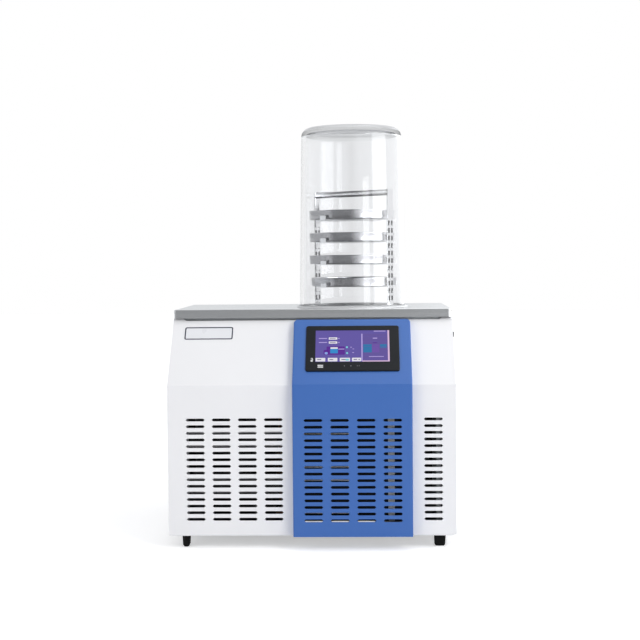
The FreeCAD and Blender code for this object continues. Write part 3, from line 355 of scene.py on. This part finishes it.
# Painted shade: the copper is darkened nearly to black, standing in for the shade it lies in.
COPPER_PAINTED_SHADE = brushed_metal("copper_line_painted_shade", (0.17, 0.09, 0.055), 0.42, (3, 3, 3))
BRASS = brushed_metal("valve_brass", (0.72, 0.56, 0.28), 0.25, (3, 3, 3))
CLEAR = clear_acrylic()
CLEAR_ROOF = acrylic_shoulder("acrylic_shoulder", 0.74, 0.46)
# Painted shade: a near-black gloss that paints dark arcs where the shoulder turns edge-on.
FILLET_PAINTED_SHADE = acrylic_shoulder("acrylic_fillet_painted_shade", 0.05, 0.5, 0.3)
SEAL = silicone()
RUBBER = moulded("foot_rubber", (0.009, 0.009, 0.009), 0.7, specular=0.15)
BLACK = moulded("black_plastic", (0.022, 0.023, 0.025), 0.42)
BEZEL = moulded("screen_frame", srgb(22, 25, 30), 0.33, specular=0.2)
PRIMER = moulded("pale_primer", (0.80, 0.80, 0.82), 0.6)
POT = powder_coat("compressor_enamel", (0.015, 0.015, 0.016), 0.3)
DIPPED = moulded("dipped_lever", (0.03, 0.10, 0.36), 0.4)
FOAM = foam_material()

FINISH_OF_SLOT = {
    "white_paint": WHITE, "blue_paint": BLUE, "bezel_dark": BEZEL, "display": BEZEL,
    "black_plastic": BLACK, "stainless_plate": PLATE_STEEL, "stainless_well": SATIN_STEEL,
    "stainless_rack": RACK_STEEL, "stainless_tray": TRAY_PAINTED_REFLECTION, "clear_acrylic": CLEAR,
    "seal_rubber": SEAL, "foot_rubber": RUBBER, "zinc_steel": ZINC, "compressor_black": POT,
    "condenser_fins": FINS_PAINTED_SHADE, "foam": FOAM, "copper": COPPER_PAINTED_SHADE, "valve_brass": BRASS,
    "lever_steel": DIPPED,
}


def finish_cad_nodes():
    """Puts each slot's finish on the CAD nodes, whose meshes stay as they are."""
    slot_of = {part["node"]: part["material_slot"] for part in frame["record"]["subparts"]}
    for name, node in frame["nodes"].items():
        finish = FINISH_OF_SLOT[slot_of[name]]
        if not node.material_slots:
            node.data.materials.append(finish)
        for holder in node.material_slots:
            holder.material = finish


# ---------------------------------------------------------------- mesh helpers
def to_object(name, mesh_builder, finish, body, smooth_angle=35):
    """A piece of the scene, shaded round where its faces meet at less than smooth_angle."""
    mesh = bpy.data.meshes.new(name)
    mesh_builder.to_mesh(mesh)
    mesh_builder.free()
    mesh.shade_smooth()
    mesh.set_sharp_from_angle(angle=math.radians(smooth_angle))
    piece = bpy.data.objects.new(name, mesh)
    bpy.context.scene.collection.objects.link(piece)
    for material in finish if isinstance(finish, list) else [finish]:
        mesh.materials.append(material)
    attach(piece, body)
    return piece


def arc(centre, radius, start, end, steps):
    """(radius, z) points of a round stretch, angles in degrees."""
    points = []
    for step in range(steps + 1):
        angle = math.radians(start + (end - start) * step / steps)
        points.append((centre[0] + radius * math.cos(angle), centre[1] + radius * math.sin(angle)))
    return points


def lathe(name, profile, centre, finish, body, turns=160):
    """A closed (radius, z) profile turned about an upright axis through centre."""
    least_radius = 0.001 * MM
    builder = bmesh.new()
    rings = []
    for radius, z in profile:
        if radius < least_radius:
            rings.append([builder.verts.new((centre.x, centre.y, z))] * turns)
            continue
        ring = []
        for turn in range(turns):
            angle = 2 * math.pi * turn / turns
            ring.append(builder.verts.new((centre.x + radius * math.cos(angle),
                                           centre.y + radius * math.sin(angle), z)))
        rings.append(ring)
    for i, ring in enumerate(rings):
        following = rings[(i + 1) % len(rings)]
        for turn in range(turns):
            after = (turn + 1) % turns
            corners = [ring[turn], ring[after], following[after], following[turn]]
            distinct = list(dict.fromkeys(corners))
            if len(distinct) > 2:
                builder.faces.new(distinct)
    bmesh.ops.recalc_face_normals(builder, faces=builder.faces)
    return to_object(name, builder, finish, body)


def smoothed_copy(node, finish, angle=34):
    """A round piece of the cabinet whose flats are shaded as one round surface."""
    weld = 0.01 * MM
    builder = bmesh.new()
    builder.from_mesh(frame["nodes"][node].data)
    bmesh.ops.remove_doubles(builder, verts=builder.verts, dist=weld)
    piece = to_object(node + "_finished", builder, finish, "cabinet", angle)
    for face in piece.data.polygons:
        face.material_index = 0
    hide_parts(node)
    return piece


def rounded_outline(width, height, corner, steps=6):
    """Points of a rectangle with round corners about its centre."""
    points = []
    for x, y, start in ((1, 1, 0), (-1, 1, 90), (-1, -1, 180), (1, -1, 270)):
        centre = (x * (width / 2 - corner), y * (height / 2 - corner))
        points += arc(centre, corner, start, start + 90, steps)
    return points


def plate_on(builder, outline, centre, axes, low, high, index=0):
    """Adds a thin plate: an outline in the plane of axes[0] and axes[1], raised along axes[2]."""
    right, up, out = axes
    low_ring = [builder.verts.new(centre + right * u + up * v + out * low) for u, v in outline]
    high_ring = [builder.verts.new(centre + right * u + up * v + out * high) for u, v in outline]
    faces = [builder.faces.new(high_ring), builder.faces.new(list(reversed(low_ring)))]
    count = len(outline)
    for i in range(count):
        j = (i + 1) % count
        faces.append(builder.faces.new([low_ring[i], low_ring[j], high_ring[j], high_ring[i]]))
    for face in faces:
        face.material_index = index


def frame_on(builder, outer, inner, centre, axes, low, high, index=0):
    """Adds a raised rim between two like outlines."""
    right, up, out = axes

    def ring(outline, height):
        """The outline's corners, height above the plane."""
        return [builder.verts.new(centre + right * u + up * v + out * height) for u, v in outline]

    rings = [ring(outer, low), ring(outer, high), ring(inner, high), ring(inner, low)]
    count = len(outer)
    for k in range(4):
        first, second = rings[k], rings[(k + 1) % 4]
        for i in range(count):
            j = (i + 1) % count
            face = builder.faces.new([first[i], first[j], second[j], second[i]])
            face.material_index = index


# ---------------------------------------------------------------- chamber, seal and trays
def make_chamber():
    """The clear bell, with a fine lip at its foot and a true round shoulder inside and out."""
    lip = 0.6 * MM
    roof_edge = 9 * MM                       # height of the band that shows the roof's finish
    inner_base = BASE_RADIUS - WALL
    inner_top = TOP_RADIUS - WALL
    inner_bend = SHOULDER - WALL
    profile = [(inner_base + lip, BASE_Z), (BASE_RADIUS - lip, BASE_Z), (BASE_RADIUS, BASE_Z + lip)]
    profile += arc((TOP_RADIUS - SHOULDER, ROOF_Z - SHOULDER), SHOULDER, 0, 90, 14)
    profile += [(0, ROOF_Z), (0, ROOF_Z - ROOF)]
    profile += arc((inner_top - inner_bend, ROOF_Z - ROOF - inner_bend), inner_bend, 90, 0, 12)
    profile += [(inner_base, BASE_Z + lip)]
    piece = lathe("chamber_bell", profile, AXIS, [CLEAR, CLEAR_ROOF, FILLET_PAINTED_SHADE], "cabinet",
                  192)
    # The shoulder's steeper faces take the darkened gloss, painted shade.
    for face in piece.data.polygons:
        if face.center.z > ROOF_Z - SHOULDER:
            near_roof = face.center.z > ROOF_Z - roof_edge or abs(face.normal.z) > 0.85
            face.material_index = 1 if near_roof else 2
    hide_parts("chamber")


def make_seal():
    """The seal ring with softened outer edges."""
    low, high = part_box("chamber_seal")
    outer = (high[0] - low[0]) / 2
    inner = outer - 10.5 * MM
    soft = 0.7 * MM                          # radius of the softened edges
    profile = arc((outer - soft, low[2] + soft), soft, -90, 0, 4)
    profile += arc((outer - soft, high[2] - soft), soft, 0, 90, 4)
    profile += [(inner, high[2]), (inner, low[2])]
    piece = lathe("chamber_seal_ring", profile, AXIS, SEAL, "cabinet", 192)
    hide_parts("chamber_seal")


def make_trays():
    """Spun trays: a flat floor, a rounded heel and a rolled rim."""
    wall, bead, heel = 1.0 * MM, 1.3 * MM, 3.0 * MM
    for number in range(1, 5):
        node = "tray_%d" % number
        low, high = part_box(node)
        centre = middle(node)
        outer = (high[0] - low[0]) / 2
        side = outer - bead / 2
        profile = [(0, low[2])]
        profile += arc((side - heel, low[2] + heel), heel, -90, 0, 6)
        profile += arc((outer - bead, high[2] - bead), bead, -40, 180, 10)
        profile += arc((side - wall - heel, low[2] + wall + heel), heel, 0, -90, 6)
        profile += [(0, low[2] + wall)]
        # The trays take the painted-reflection finish.
        piece = lathe("spun_" + node, profile, centre, TRAY_PAINTED_REFLECTION, "cabinet")
        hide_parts(node)


def make_inner_frame():
    """The welded frame: bare zinc posts, and the two channels behind the left slots, their webs
    near-black as painted shade and their front lips pale as painted light.
    """
    piece = smoothed_copy("inner_frame", [ZINC, POT, PRIMER], angle=20)
    left_x, right_x = -270 * MM, -60 * MM    # the stretch behind the left panel's slots
    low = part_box("inner_frame")[0]
    foot_z, belt_z = low[2] + 60 * MM, 300 * MM
    channel_depth, lip_depth = 20 * MM, 2.5 * MM
    for face in piece.data.polygons:
        depth = face.center.y - low[1]
        behind_slots = left_x < face.center.x < right_x and foot_z < face.center.z < belt_z
        # Painted shade: near-black channel webs; painted light: their pale front lips.
        if behind_slots and depth < channel_depth:
            face.material_index = 2 if depth < lip_depth else 1


def make_rack():
    """The slotted rack: its handle shaded round with painted reflection bands, and the cut edges of
    its slots near-black as painted shade.
    """
    piece = smoothed_copy("tray_rack", [RACK_STEEL, SLOT_PAINTED_SHADE, HANDLE_PAINTED_REFLECTION])
    low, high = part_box("tray_rack")
    feet_top, handle_foot = low[2] + 5 * MM, high[2] - 16 * MM
    cut_area = 18 * MM * MM                  # the largest cut edge of a slot
    across = Vector((math.cos(RACK_TURN), math.sin(RACK_TURN), 0))
    for face in piece.data.polygons:
        in_slots = feet_top < face.center.z < handle_foot
        # Painted shade: the small cut faces of the slots take the near-black finish.
        if in_slots and face.area < cut_area and abs(face.normal.dot(across)) < 0.5:
            face.material_index = 1
        # Painted reflection: the handle takes the banded finish.
        if face.center.z > handle_foot:
            face.material_index = 2


def make_slot_rims():
    """Rolled rims round the rack's paired slots, on both faces of each upright, near-black as
    painted shade.
    """
    rows, lowest, pitch, half_gap = 11, 529 * MM, 16.9 * MM, 5.5 * MM
    outer_face, inner_face = 106 * MM, 104 * MM
    rim = rounded_outline(5.8 * MM, 10.8 * MM, 1.4 * MM, 2)
    hole = rounded_outline(3.2 * MM, 8.0 * MM, 0.4 * MM, 2)
    turn = Matrix.Rotation(RACK_TURN, 3, "Z")
    along, across, up = turn @ Vector((1, 0, 0)), turn @ Vector((0, 1, 0)), Vector((0, 0, 1))
    builder = bmesh.new()
    for side in (-1, 1):
        for reach, facing in ((outer_face, side), (inner_face, -side)):
            for row in range(rows):
                for shift in (-half_gap, half_gap):
                    centre = Vector((AXIS.x, AXIS.y, lowest + pitch * row))
                    centre += along * side * reach + across * shift
                    frame_on(builder, rim, hole, centre, (across, up, along * facing),
                             -0.05 * MM, 0.12 * MM)
    bmesh.ops.recalc_face_normals(builder, faces=builder.faces)
    to_object("rack_slot_rims", builder, SLOT_PAINTED_SHADE, "cabinet")


def make_condenser_rails():
    """Tube rows of the condenser, and the pale stiffener inside the cover's lowest slots."""
    low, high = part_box("condenser")
    soft = 0.8 * MM                          # radius of the corners
    builder = bmesh.new()
    axes = (RIGHT, Vector((0, 0, 1)), Vector((0, -1, 0)))

    def rail(left_x, right_x, y, z, height, back, front):
        """A level bar that reaches from back to front of y, towards the viewer."""
        centre = Vector(((left_x + right_x) / 2, y, z))
        plate_on(builder, rounded_outline(right_x - left_x, height, soft, 3), centre, axes,
                 back, front)

    for z, share in ((243.5, 0.52), (172.0, 0.48), (143.5, 0.52), (72.5, 0.55)):
        rail(low[0] + 2 * MM, low[0] + (high[0] - low[0]) * share, low[1], z * MM, 2 * MM,
             0.0, 1.5 * MM)
    rail(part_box("centre_cover")[0][0] + 18 * MM, AXIS.x + 46 * MM, COVER_FRONT + 1.6 * MM,
         59.5 * MM, 9 * MM, -1.2 * MM, 0.0)
    to_object("condenser_rails", builder, PRIMER, "cabinet")


def make_round_pieces():
    """Round pieces that only need round shading and their own finish."""
    for node, finish, slot in (("cold_trap_well", SATIN_STEEL, "stainless_well"),
                               ("vacuum_port", SATIN_STEEL, "stainless_well"),
                               ("drain_nozzle", BRASS, "valve_brass"),
                               ("evaporator_plate", FINS_PAINTED_SHADE, "condenser_fins"),
                               ("compressor", POT, "compressor_black"),
                               ("filter_drier", COPPER_PAINTED_SHADE, "copper")):
        smoothed_copy(node, finish)


def make_rear_louvres():
    """Blades pressed inwards from the top edge of each rear vent."""
    builder = bmesh.new()
    columns, rows, highest, pitch = (-215 * MM, -160 * MM), 8, 265 * MM, 14.22 * MM
    length, drop, reach, sheet = 46 * MM, 8.5 * MM, 7 * MM, 1 * MM
    inner = REAR_Y - 1.5 * MM                # the inner face of the rear panel
    for x in columns:
        for row in range(rows):
            top = highest - pitch * row
            section = [(inner, top), (inner, top + sheet), (inner - reach, top - drop + sheet),
                       (inner - reach, top - drop)]
            ends = [[builder.verts.new((x + side * length / 2, y, z)) for y, z in section]
                    for side in (-1, 1)]
            builder.faces.new(ends[0])
            builder.faces.new(list(reversed(ends[1])))
            for i in range(4):
                j = (i + 1) % 4
                builder.faces.new([ends[0][j], ends[0][i], ends[1][i], ends[1][j]])
    bmesh.ops.recalc_face_normals(builder, faces=builder.faces)
    # The white finish paints the blades' inner faces near-black as painted shade.
    to_object("rear_louvres", builder, WHITE, "cabinet")


# ---------------------------------------------------------------- display
DISPLAY_W = 159 * MM
DISPLAY_H = 84 * MM


def face_centre(node, thick):
    """Middle of the outer face of a thin plate that lies on the lean."""
    return middle(node) + OUTWARD * (thick / 2)


def field(builder, left, top, right, bottom, layer, index, corner=0.0):
    """A rectangular field, placed by fractions of the display's width and height."""
    width = (right - left) * DISPLAY_W
    height = (bottom - top) * DISPLAY_H
    u = ((left + right) / 2 - 0.5) * DISPLAY_W
    v = (0.5 - (top + bottom) / 2) * DISPLAY_H
    sharpest = 0.02
    outline = rounded_outline(width, height, max(corner, sharpest) * MM, 3)
    outline = [(u + a, v + b) for a, b in outline]
    thick = 0.04 * MM                        # of one layer of the picture
    plate_on(builder, outline, face_centre("display_glass", GLASS), (RIGHT, UP_SLOPE, OUTWARD),
             layer * thick, (layer + 1) * thick, index)


def make_display_picture():
    """A generic control page in plain fields: two values, a machine, keys and a side list."""
    finishes = [lit("screen_" + name, srgb(*color)) for name, color in (
        ("purple", (93, 80, 158)), ("white", (224, 222, 229)), ("dark_purple", (84, 30, 140)),
        ("blue", (40, 132, 198)), ("cyan", (120, 200, 210)), ("lilac", (176, 158, 218)),
        ("teal", (36, 112, 164)), ("violet", (94, 78, 150)), ("pink", (216, 184, 214)),
        ("ink", (90, 84, 130)), ("magenta", (106, 76, 160)), ("steel", (134, 160, 222)))]
    purple, white, dark, blue, cyan, lilac, teal, violet, pink, ink, magenta, steel = range(12)
    builder = bmesh.new()
    field(builder, 0.0, 0.0, 1.0, 1.0, 0, purple)
    for top in (0.222, 0.351):
        field(builder, 0.179, top, 0.294, top + 0.072, 1, white, 0.6)
        field(builder, 0.044, top + 0.02, 0.157, top + 0.045, 1, lilac, 0.5)
        field(builder, 0.192, top + 0.028, 0.272, top + 0.046, 2, ink, 0.4)
        field(builder, 0.308, top + 0.02, 0.325, top + 0.05, 1, lilac, 0.4)
    # the machine
    field(builder, 0.111, 0.62, 0.18, 0.775, 1, dark, 3.0)
    field(builder, 0.15, 0.513, 0.397, 0.775, 1, dark, 2.0)
    field(builder, 0.31, 0.585, 0.39, 0.61, 2, lilac, 0.3)
    field(builder, 0.2, 0.585, 0.303, 0.732, 2, blue, 0.8)
    field(builder, 0.203, 0.54, 0.301, 0.59, 3, white, 0.5)
    field(builder, 0.125, 0.69, 0.167, 0.765, 2, steel, 2.6)
    for left, top in ((0.412, 0.51), (0.415, 0.695)):
        field(builder, left, top, left + 0.026, top + 0.06, 1, cyan, 1.6)
    for left, top in ((0.47, 0.53), (0.5, 0.585), (0.498, 0.70)):
        field(builder, left, top, left + 0.022, top + 0.02, 1, lilac, 0.5)
    # keys along the bottom
    for left, right in ((0.004, 0.135), (0.169, 0.297), (0.329, 0.467), (0.493, 0.616)):
        field(builder, left, 0.874, right, 0.985, 1, white, 1.0)
        field(builder, left + 0.022, 0.915, right - 0.055, 0.94, 2, ink, 0.4)
    field(builder, 0.408, 0.905, 0.452, 0.965, 3, cyan, 1.4)
    field(builder, 0.58, 0.915, 0.6, 0.94, 2, ink, 0.3)
    # side list
    field(builder, 0.62, 0.11, 0.636, 0.985, 1, lilac)
    field(builder, 0.644, 0.11, 0.972, 0.96, 1, violet)
    for top in (0.2, 0.36, 0.52, 0.80, 0.9):
        field(builder, 0.65, top, 0.965, top + 0.012, 2, purple)
    field(builder, 0.775, 0.24, 0.835, 0.27, 2, lilac, 0.4)
    field(builder, 0.646, 0.45, 0.76, 0.71, 2, teal, 0.5)
    field(builder, 0.765, 0.45, 0.86, 0.71, 2, magenta, 0.5)
    field(builder, 0.872, 0.45, 0.962, 0.56, 2, teal, 0.5)
    field(builder, 0.775, 0.392, 0.835, 0.415, 3, dark, 0.4)
    field(builder, 0.72, 0.83, 0.92, 0.85, 2, lilac, 0.4)
    field(builder, 0.79, 0.015, 0.95, 0.04, 1, lilac, 0.4)
    field(builder, 0.976, 0.0, 0.998, 0.99, 1, pink, 0.3)
    field(builder, 0.632, 0.965, 0.998, 0.995, 2, pink, 0.3)
    to_object("display_picture", builder, finishes, "cabinet")


def make_bezel_marks():
    """A touch mark, a blank data label and three status lamps on the screen's frame."""
    pale = moulded("pale_print", srgb(205, 206, 208), 0.45)
    grey = moulded("grey_print", srgb(128, 129, 132), 0.45)
    bezel_rise, bezel_drop = 0.3 * MM, 5 * MM   # of the bezel's face against the glass
    origin = face_centre("display_glass", GLASS) + OUTWARD * bezel_rise - UP_SLOPE * bezel_drop
    axes = (RIGHT, UP_SLOPE, OUTWARD)
    builder = bmesh.new()

    def mark(u, v, width, height, corner, index):
        """A mark in millimetres from the middle of the bezel."""
        outline = [(u * MM + a, v * MM + b)
                   for a, b in rounded_outline(width * MM, height * MM, corner * MM, 5)]
        plate_on(builder, outline, origin, axes, -0.01 * MM, 0.02 * MM, index)

    mark(-87.0, -31.5, 5.2, 10.5, 2.5, 0)
    mark(-88.6, -29.5, 2.6, 6.0, 1.2, 2)
    mark(-68.4, -46.4, 12.0, 3.4, 0.9, 0)
    mark(-68.4, -50.8, 12.0, 3.4, 0.9, 0)
    for u, width in ((-17.2, 2.0), (-3.5, 2.6), (10.0, 1.6), (14.2, 1.6)):
        mark(u, -48.0, width, 1.8, 0.7, 1)
    to_object("bezel_marks", builder, [pale, grey, BEZEL], "cabinet")


# ---------------------------------------------------------------- badge plate and screws
def make_badge():
    """A bare name plate with a thin dark rim on the left slope."""
    face = powder_coat("badge_face", srgb(238, 239, 243), 0.3)
    rim = moulded("badge_rim", srgb(34, 36, 62), 0.4, specular=0.2)
    width, height, corner, border = 105.6 * MM, 33.6 * MM, 4 * MM, 2.4 * MM
    from_left, up_slope = 80.9 * MM, 139.8 * MM
    centre = Vector((PANEL_LEFT + from_left, PANEL_FRONT, BEND_Z)) + UP_SLOPE * up_slope
    outline = rounded_outline(width, height, corner)
    axes = (RIGHT, UP_SLOPE, OUTWARD)
    builder = bmesh.new()
    plate_on(builder, outline, centre, axes, 0.0, 0.35 * MM, 0)
    frame_on(builder, outline,
             rounded_outline(width - 2 * border, height - 2 * border, corner / 2),
             centre, axes, 0.3 * MM, 0.7 * MM, 1)
    to_object("name_plate", builder, [face, rim], "cabinet")


def pan_head(builder, centre, axes, radius=3.4 * MM, height=1.5 * MM):
    """A pan-head screw with a cross recess."""
    right, up, out = axes
    sides = 24
    rings = []
    for reach, rise in ((1.0, 0.0), (0.97, 0.55), (0.82, 0.85), (0.55, 1.0)):
        ring = []
        for turn in range(sides):
            angle = 2 * math.pi * turn / sides
            offset = (right * math.cos(angle) + up * math.sin(angle)) * radius * reach
            ring.append(builder.verts.new(centre + offset + out * height * rise))
        rings.append(ring)
    for first, second in zip(rings, rings[1:]):
        for i in range(sides):
            j = (i + 1) % sides
            builder.faces.new([first[i], first[j], second[j], second[i]])
    arm, half = radius * 0.42, radius * 0.11
    cross = [(half, arm), (-half, arm), (-half, half), (-arm, half), (-arm, -half), (-half, -half),
             (-half, -arm), (half, -arm), (half, -half), (arm, -half), (arm, half), (half, half)]
    top = [builder.verts.new(centre + right * u + up * v + out * height) for u, v in cross]
    floor = [builder.verts.new(centre + right * u + up * v + out * height * 0.35) for u, v in cross]
    for i in range(len(cross)):
        j = (i + 1) % len(cross)
        builder.faces.new([top[i], top[j], floor[j], floor[i]])
    builder.faces.new(floor)
    edges = [builder.edges.get((ring_a, ring_b)) for ring_a, ring_b in
             zip(rings[-1], rings[-1][1:] + rings[-1][:1])]
    edges += [builder.edges.get((a, b)) for a, b in zip(top, top[1:] + top[:1])]
    bmesh.ops.triangle_fill(builder, use_beauty=True, edges=edges)


def make_screws():
    """Screws that hold the rear panel and the two sockets."""
    builder = bmesh.new()
    axes = (-RIGHT, Vector((0, 0, 1)), Vector((0, 1, 0)))
    panel_margin, socket_margin = 12 * MM, 5 * MM
    low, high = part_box("rear_panel")
    for x in (low[0] + panel_margin, (low[0] + high[0]) / 2, high[0] - panel_margin):
        for z in (low[2] + panel_margin, (low[2] + high[2]) / 2, high[2] - panel_margin):
            pan_head(builder, Vector((x, REAR_Y, z)), axes)
    for node in ("power_inlet", "pump_outlet"):
        low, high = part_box(node)
        for x in (low[0] + socket_margin, high[0] - socket_margin):
            pan_head(builder, Vector((x, high[1], (low[2] + high[2]) / 2)), axes,
                     2.6 * MM, 1.2 * MM)
    bmesh.ops.recalc_face_normals(builder, faces=builder.faces)
    to_object("panel_screws", builder, ZINC, "cabinet")


# ---------------------------------------------------------------- studio
def aim(thing, place, target):
    """Stands a thing at a place and turns it to face a target."""
    thing.location = place
    thing.rotation_mode = "QUATERNION"
    thing.rotation_quaternion = (Vector(target) - Vector(place)).to_track_quat("-Z", "Y")


def softbox(name, place, target, width, height, power):
    """A rectangular lamp."""
    lamp = bpy.data.lights.new(name, "AREA")
    lamp.shape = "RECTANGLE"
    lamp.size = width
    lamp.size_y = height
    lamp.energy = power
    holder = bpy.data.objects.new(name, lamp)
    bpy.context.scene.collection.objects.link(holder)
    aim(holder, place, target)
    return holder


def make_lights():
    """Broad soft light, and strips that only show in gloss, round the clear chamber."""
    key = softbox("key_right", (2.3, -2.6, 2.3), (0.05, -0.1, 0.35), 1.4, 1.2, 44)
    fill = softbox("fill_left", (-2.4, -2.7, 1.3), (-0.05, -0.1, 0.4), 1.6, 1.8, 19)
    overhead = softbox("overhead", (0.9, -0.4, 2.8), (0, 0, 0), 2.2, 2.0, 16)
    fill.visible_glossy = False
    for lamp in (key, fill, overhead):
        lamp.visible_transmission = False
    reach = 1.5                              # from the chamber's axis to a strip
    for name, turn, low, high, wide, radiance in (("strip_right", 66, 0.3, 1.9, 36, 2.5),
                                                  ("strip_front", 32, 0.3, 0.97, 14, 2.2)):
        angle = math.radians(turn)
        place = Vector((AXIS.x + reach * math.sin(angle), AXIS.y - reach * math.cos(angle),
                        (low + high) / 2))
        width = 2 * reach * math.tan(math.radians(wide / 2))
        power = radiance * math.pi * width * (high - low)
        strip = softbox(name, place, (AXIS.x, AXIS.y, place.z), width, high - low, power)
        strip.visible_diffuse = False


WORLD_LEVEL = 0.49                           # of plain light from all round
ROOM_LEVEL = 0.30                            # of the room behind the camera, in gloss
RIGHT_LEVEL = 1.1                            # of the bright side wall, in gloss
LEFT_LEVEL = 0.20                            # of the pale left wall, in gloss
BACK_LEVEL = 0.88                            # of the backdrop, in gloss


def make_world():
    """White behind the object, also through glass; a softer white for plain light.

    In gloss the room behind the camera is dimmer than the white background, the right side
    is brighter and the ceiling is dark.
    """
    world = bpy.data.worlds.new("studio")
    bpy.context.scene.world = world
    world.use_nodes = True
    tree = world.node_tree
    path = tree.nodes.new("ShaderNodeLightPath")
    place = tree.nodes.new("ShaderNodeTexCoord")
    axes = tree.nodes.new("ShaderNodeSeparateXYZ")
    tree.links.new(place.outputs["Generated"], axes.inputs["Vector"])
    x, y, z = (axes.outputs[axis] for axis in "XYZ")

    depth = ramp(tree, y, -0.85, -0.1, ROOM_LEVEL, BACK_LEVEL)
    right = ramp(tree, x, 0.03, 0.34, 0.0, RIGHT_LEVEL)
    left = ramp(tree, x, -0.6, -0.85, 0.0, LEFT_LEVEL)
    walls = maths(tree, "ADD", depth, maths(tree, "ADD", right, left))
    room_level = maths(tree, "MULTIPLY", walls, ramp(tree, z, 0.3, 0.7, 1.0, 0.5))

    plain = tree.nodes["Background"]
    plain.inputs["Color"].default_value = (0.97, 0.98, 1.0, 1)
    plain.inputs["Strength"].default_value = WORLD_LEVEL
    white = tree.nodes.new("ShaderNodeBackground")
    white.inputs["Color"].default_value = (1, 1, 1, 1)
    room = tree.nodes.new("ShaderNodeBackground")
    room.inputs["Color"].default_value = (0.96, 0.98, 1.0, 1)
    tree.links.new(room_level, room.inputs["Strength"])

    in_glass = path.outputs["Is Transmission Ray"]
    mirrored = maths(tree, "MAXIMUM", path.outputs["Is Glossy Ray"], in_glass)
    clear_way = maths(tree, "MAXIMUM", maths(tree, "GREATER_THAN", y, 0.0),
                      unmirrored(tree, path))
    seen = maths(tree, "MAXIMUM", path.outputs["Is Camera Ray"],
                 maths(tree, "MULTIPLY", clear_way, in_glass))
    in_gloss = mixed(tree, mirrored, plain.outputs["Background"], room.outputs["Background"])
    in_view = mixed(tree, seen, in_gloss, white.outputs["Background"])
    tree.links.new(in_view, tree.nodes["World Output"].inputs["Surface"])


def make_floor():
    """A wide pale floor. The camera sees it white except in the shade, also through glass."""
    reach = 12.0
    shader = Shader("floor_paper", (0.93, 0.93, 0.935), 0.9)
    shader.bump(shader.noise(40), 0.0001, 0.05)
    tree = shader.tree
    place = shader.node("ShaderNodeTexCoord")
    distance = shader.node("ShaderNodeVectorMath", operation="LENGTH")
    glow = shader.node("ShaderNodeEmission")
    glow.inputs["Color"].default_value = (1, 1, 1, 1)
    lifted = shader.node("ShaderNodeAddShader")
    shader.join(place.outputs["Object"], distance.inputs[0])
    shader.join(ramp(tree, distance.outputs["Value"], 0.6, 3.5, 0.45, 0.80),
                glow.inputs["Strength"])
    shader.join(shader.bsdf.outputs["BSDF"], lifted.inputs[0])
    shader.join(glow.outputs["Emission"], lifted.inputs[1])

    path = shader.node("ShaderNodeLightPath")
    through = maths(tree, "MULTIPLY", path.outputs["Is Transmission Ray"],
                    unmirrored(tree, path))
    seen = maths(tree, "MAXIMUM", path.outputs["Is Camera Ray"], through)
    surface = mixed(tree, seen, shader.bsdf.outputs["BSDF"], lifted.outputs["Shader"])
    shader.join(surface, tree.nodes["Material Output"].inputs["Surface"])

    builder = bmesh.new()
    bmesh.ops.create_grid(builder, x_segments=8, y_segments=8, size=reach)
    mesh = bpy.data.meshes.new("floor")
    builder.to_mesh(mesh)
    builder.free()
    mesh.materials.append(shader.material)
    floor = bpy.data.objects.new("floor", mesh)
    bpy.context.scene.collection.objects.link(floor)


# ---------------------------------------------------------------- camera
CAMERA_PLACE = Vector((0.10351, -3.00534, 0.61807))
CAMERA_YAW = math.radians(1.777)             # to the left
CAMERA_PITCH = math.radians(2.666)           # downwards
CAMERA_ROLL = math.radians(-0.490)
CAMERA_LENS = 73.56                          # mm, on a sensor 36 mm wide


def make_camera():
    """The camera at the photograph's place, level and lens."""
    ahead = Vector((-math.sin(CAMERA_YAW) * math.cos(CAMERA_PITCH),
                    math.cos(CAMERA_YAW) * math.cos(CAMERA_PITCH), -math.sin(CAMERA_PITCH)))
    level = Vector((math.cos(CAMERA_YAW), math.sin(CAMERA_YAW), 0))
    above = level.cross(ahead)
    right = level * math.cos(CAMERA_ROLL) + above * math.sin(CAMERA_ROLL)
    up = above * math.cos(CAMERA_ROLL) - level * math.sin(CAMERA_ROLL)
    data = bpy.data.cameras.new("camera")
    data.sensor_width = 36.0
    data.lens = CAMERA_LENS
    camera = bpy.data.objects.new("camera", data)
    bpy.context.scene.collection.objects.link(camera)
    turn = Matrix((right, up, -ahead)).transposed()
    camera.rotation_mode = "QUATERNION"
    camera.rotation_quaternion = turn.to_quaternion()
    camera.location = CAMERA_PLACE
    bpy.context.scene.camera = camera


make_camera()
make_world()
make_lights()
make_floor()
finish_cad_nodes()
make_chamber()
make_seal()
make_trays()
make_inner_frame()
make_rack()
make_slot_rims()
make_condenser_rails()
make_round_pieces()
make_rear_louvres()
make_display_picture()
make_bezel_marks()
make_badge()
make_screws()
bpy.context.scene.view_settings.view_transform = "Standard"
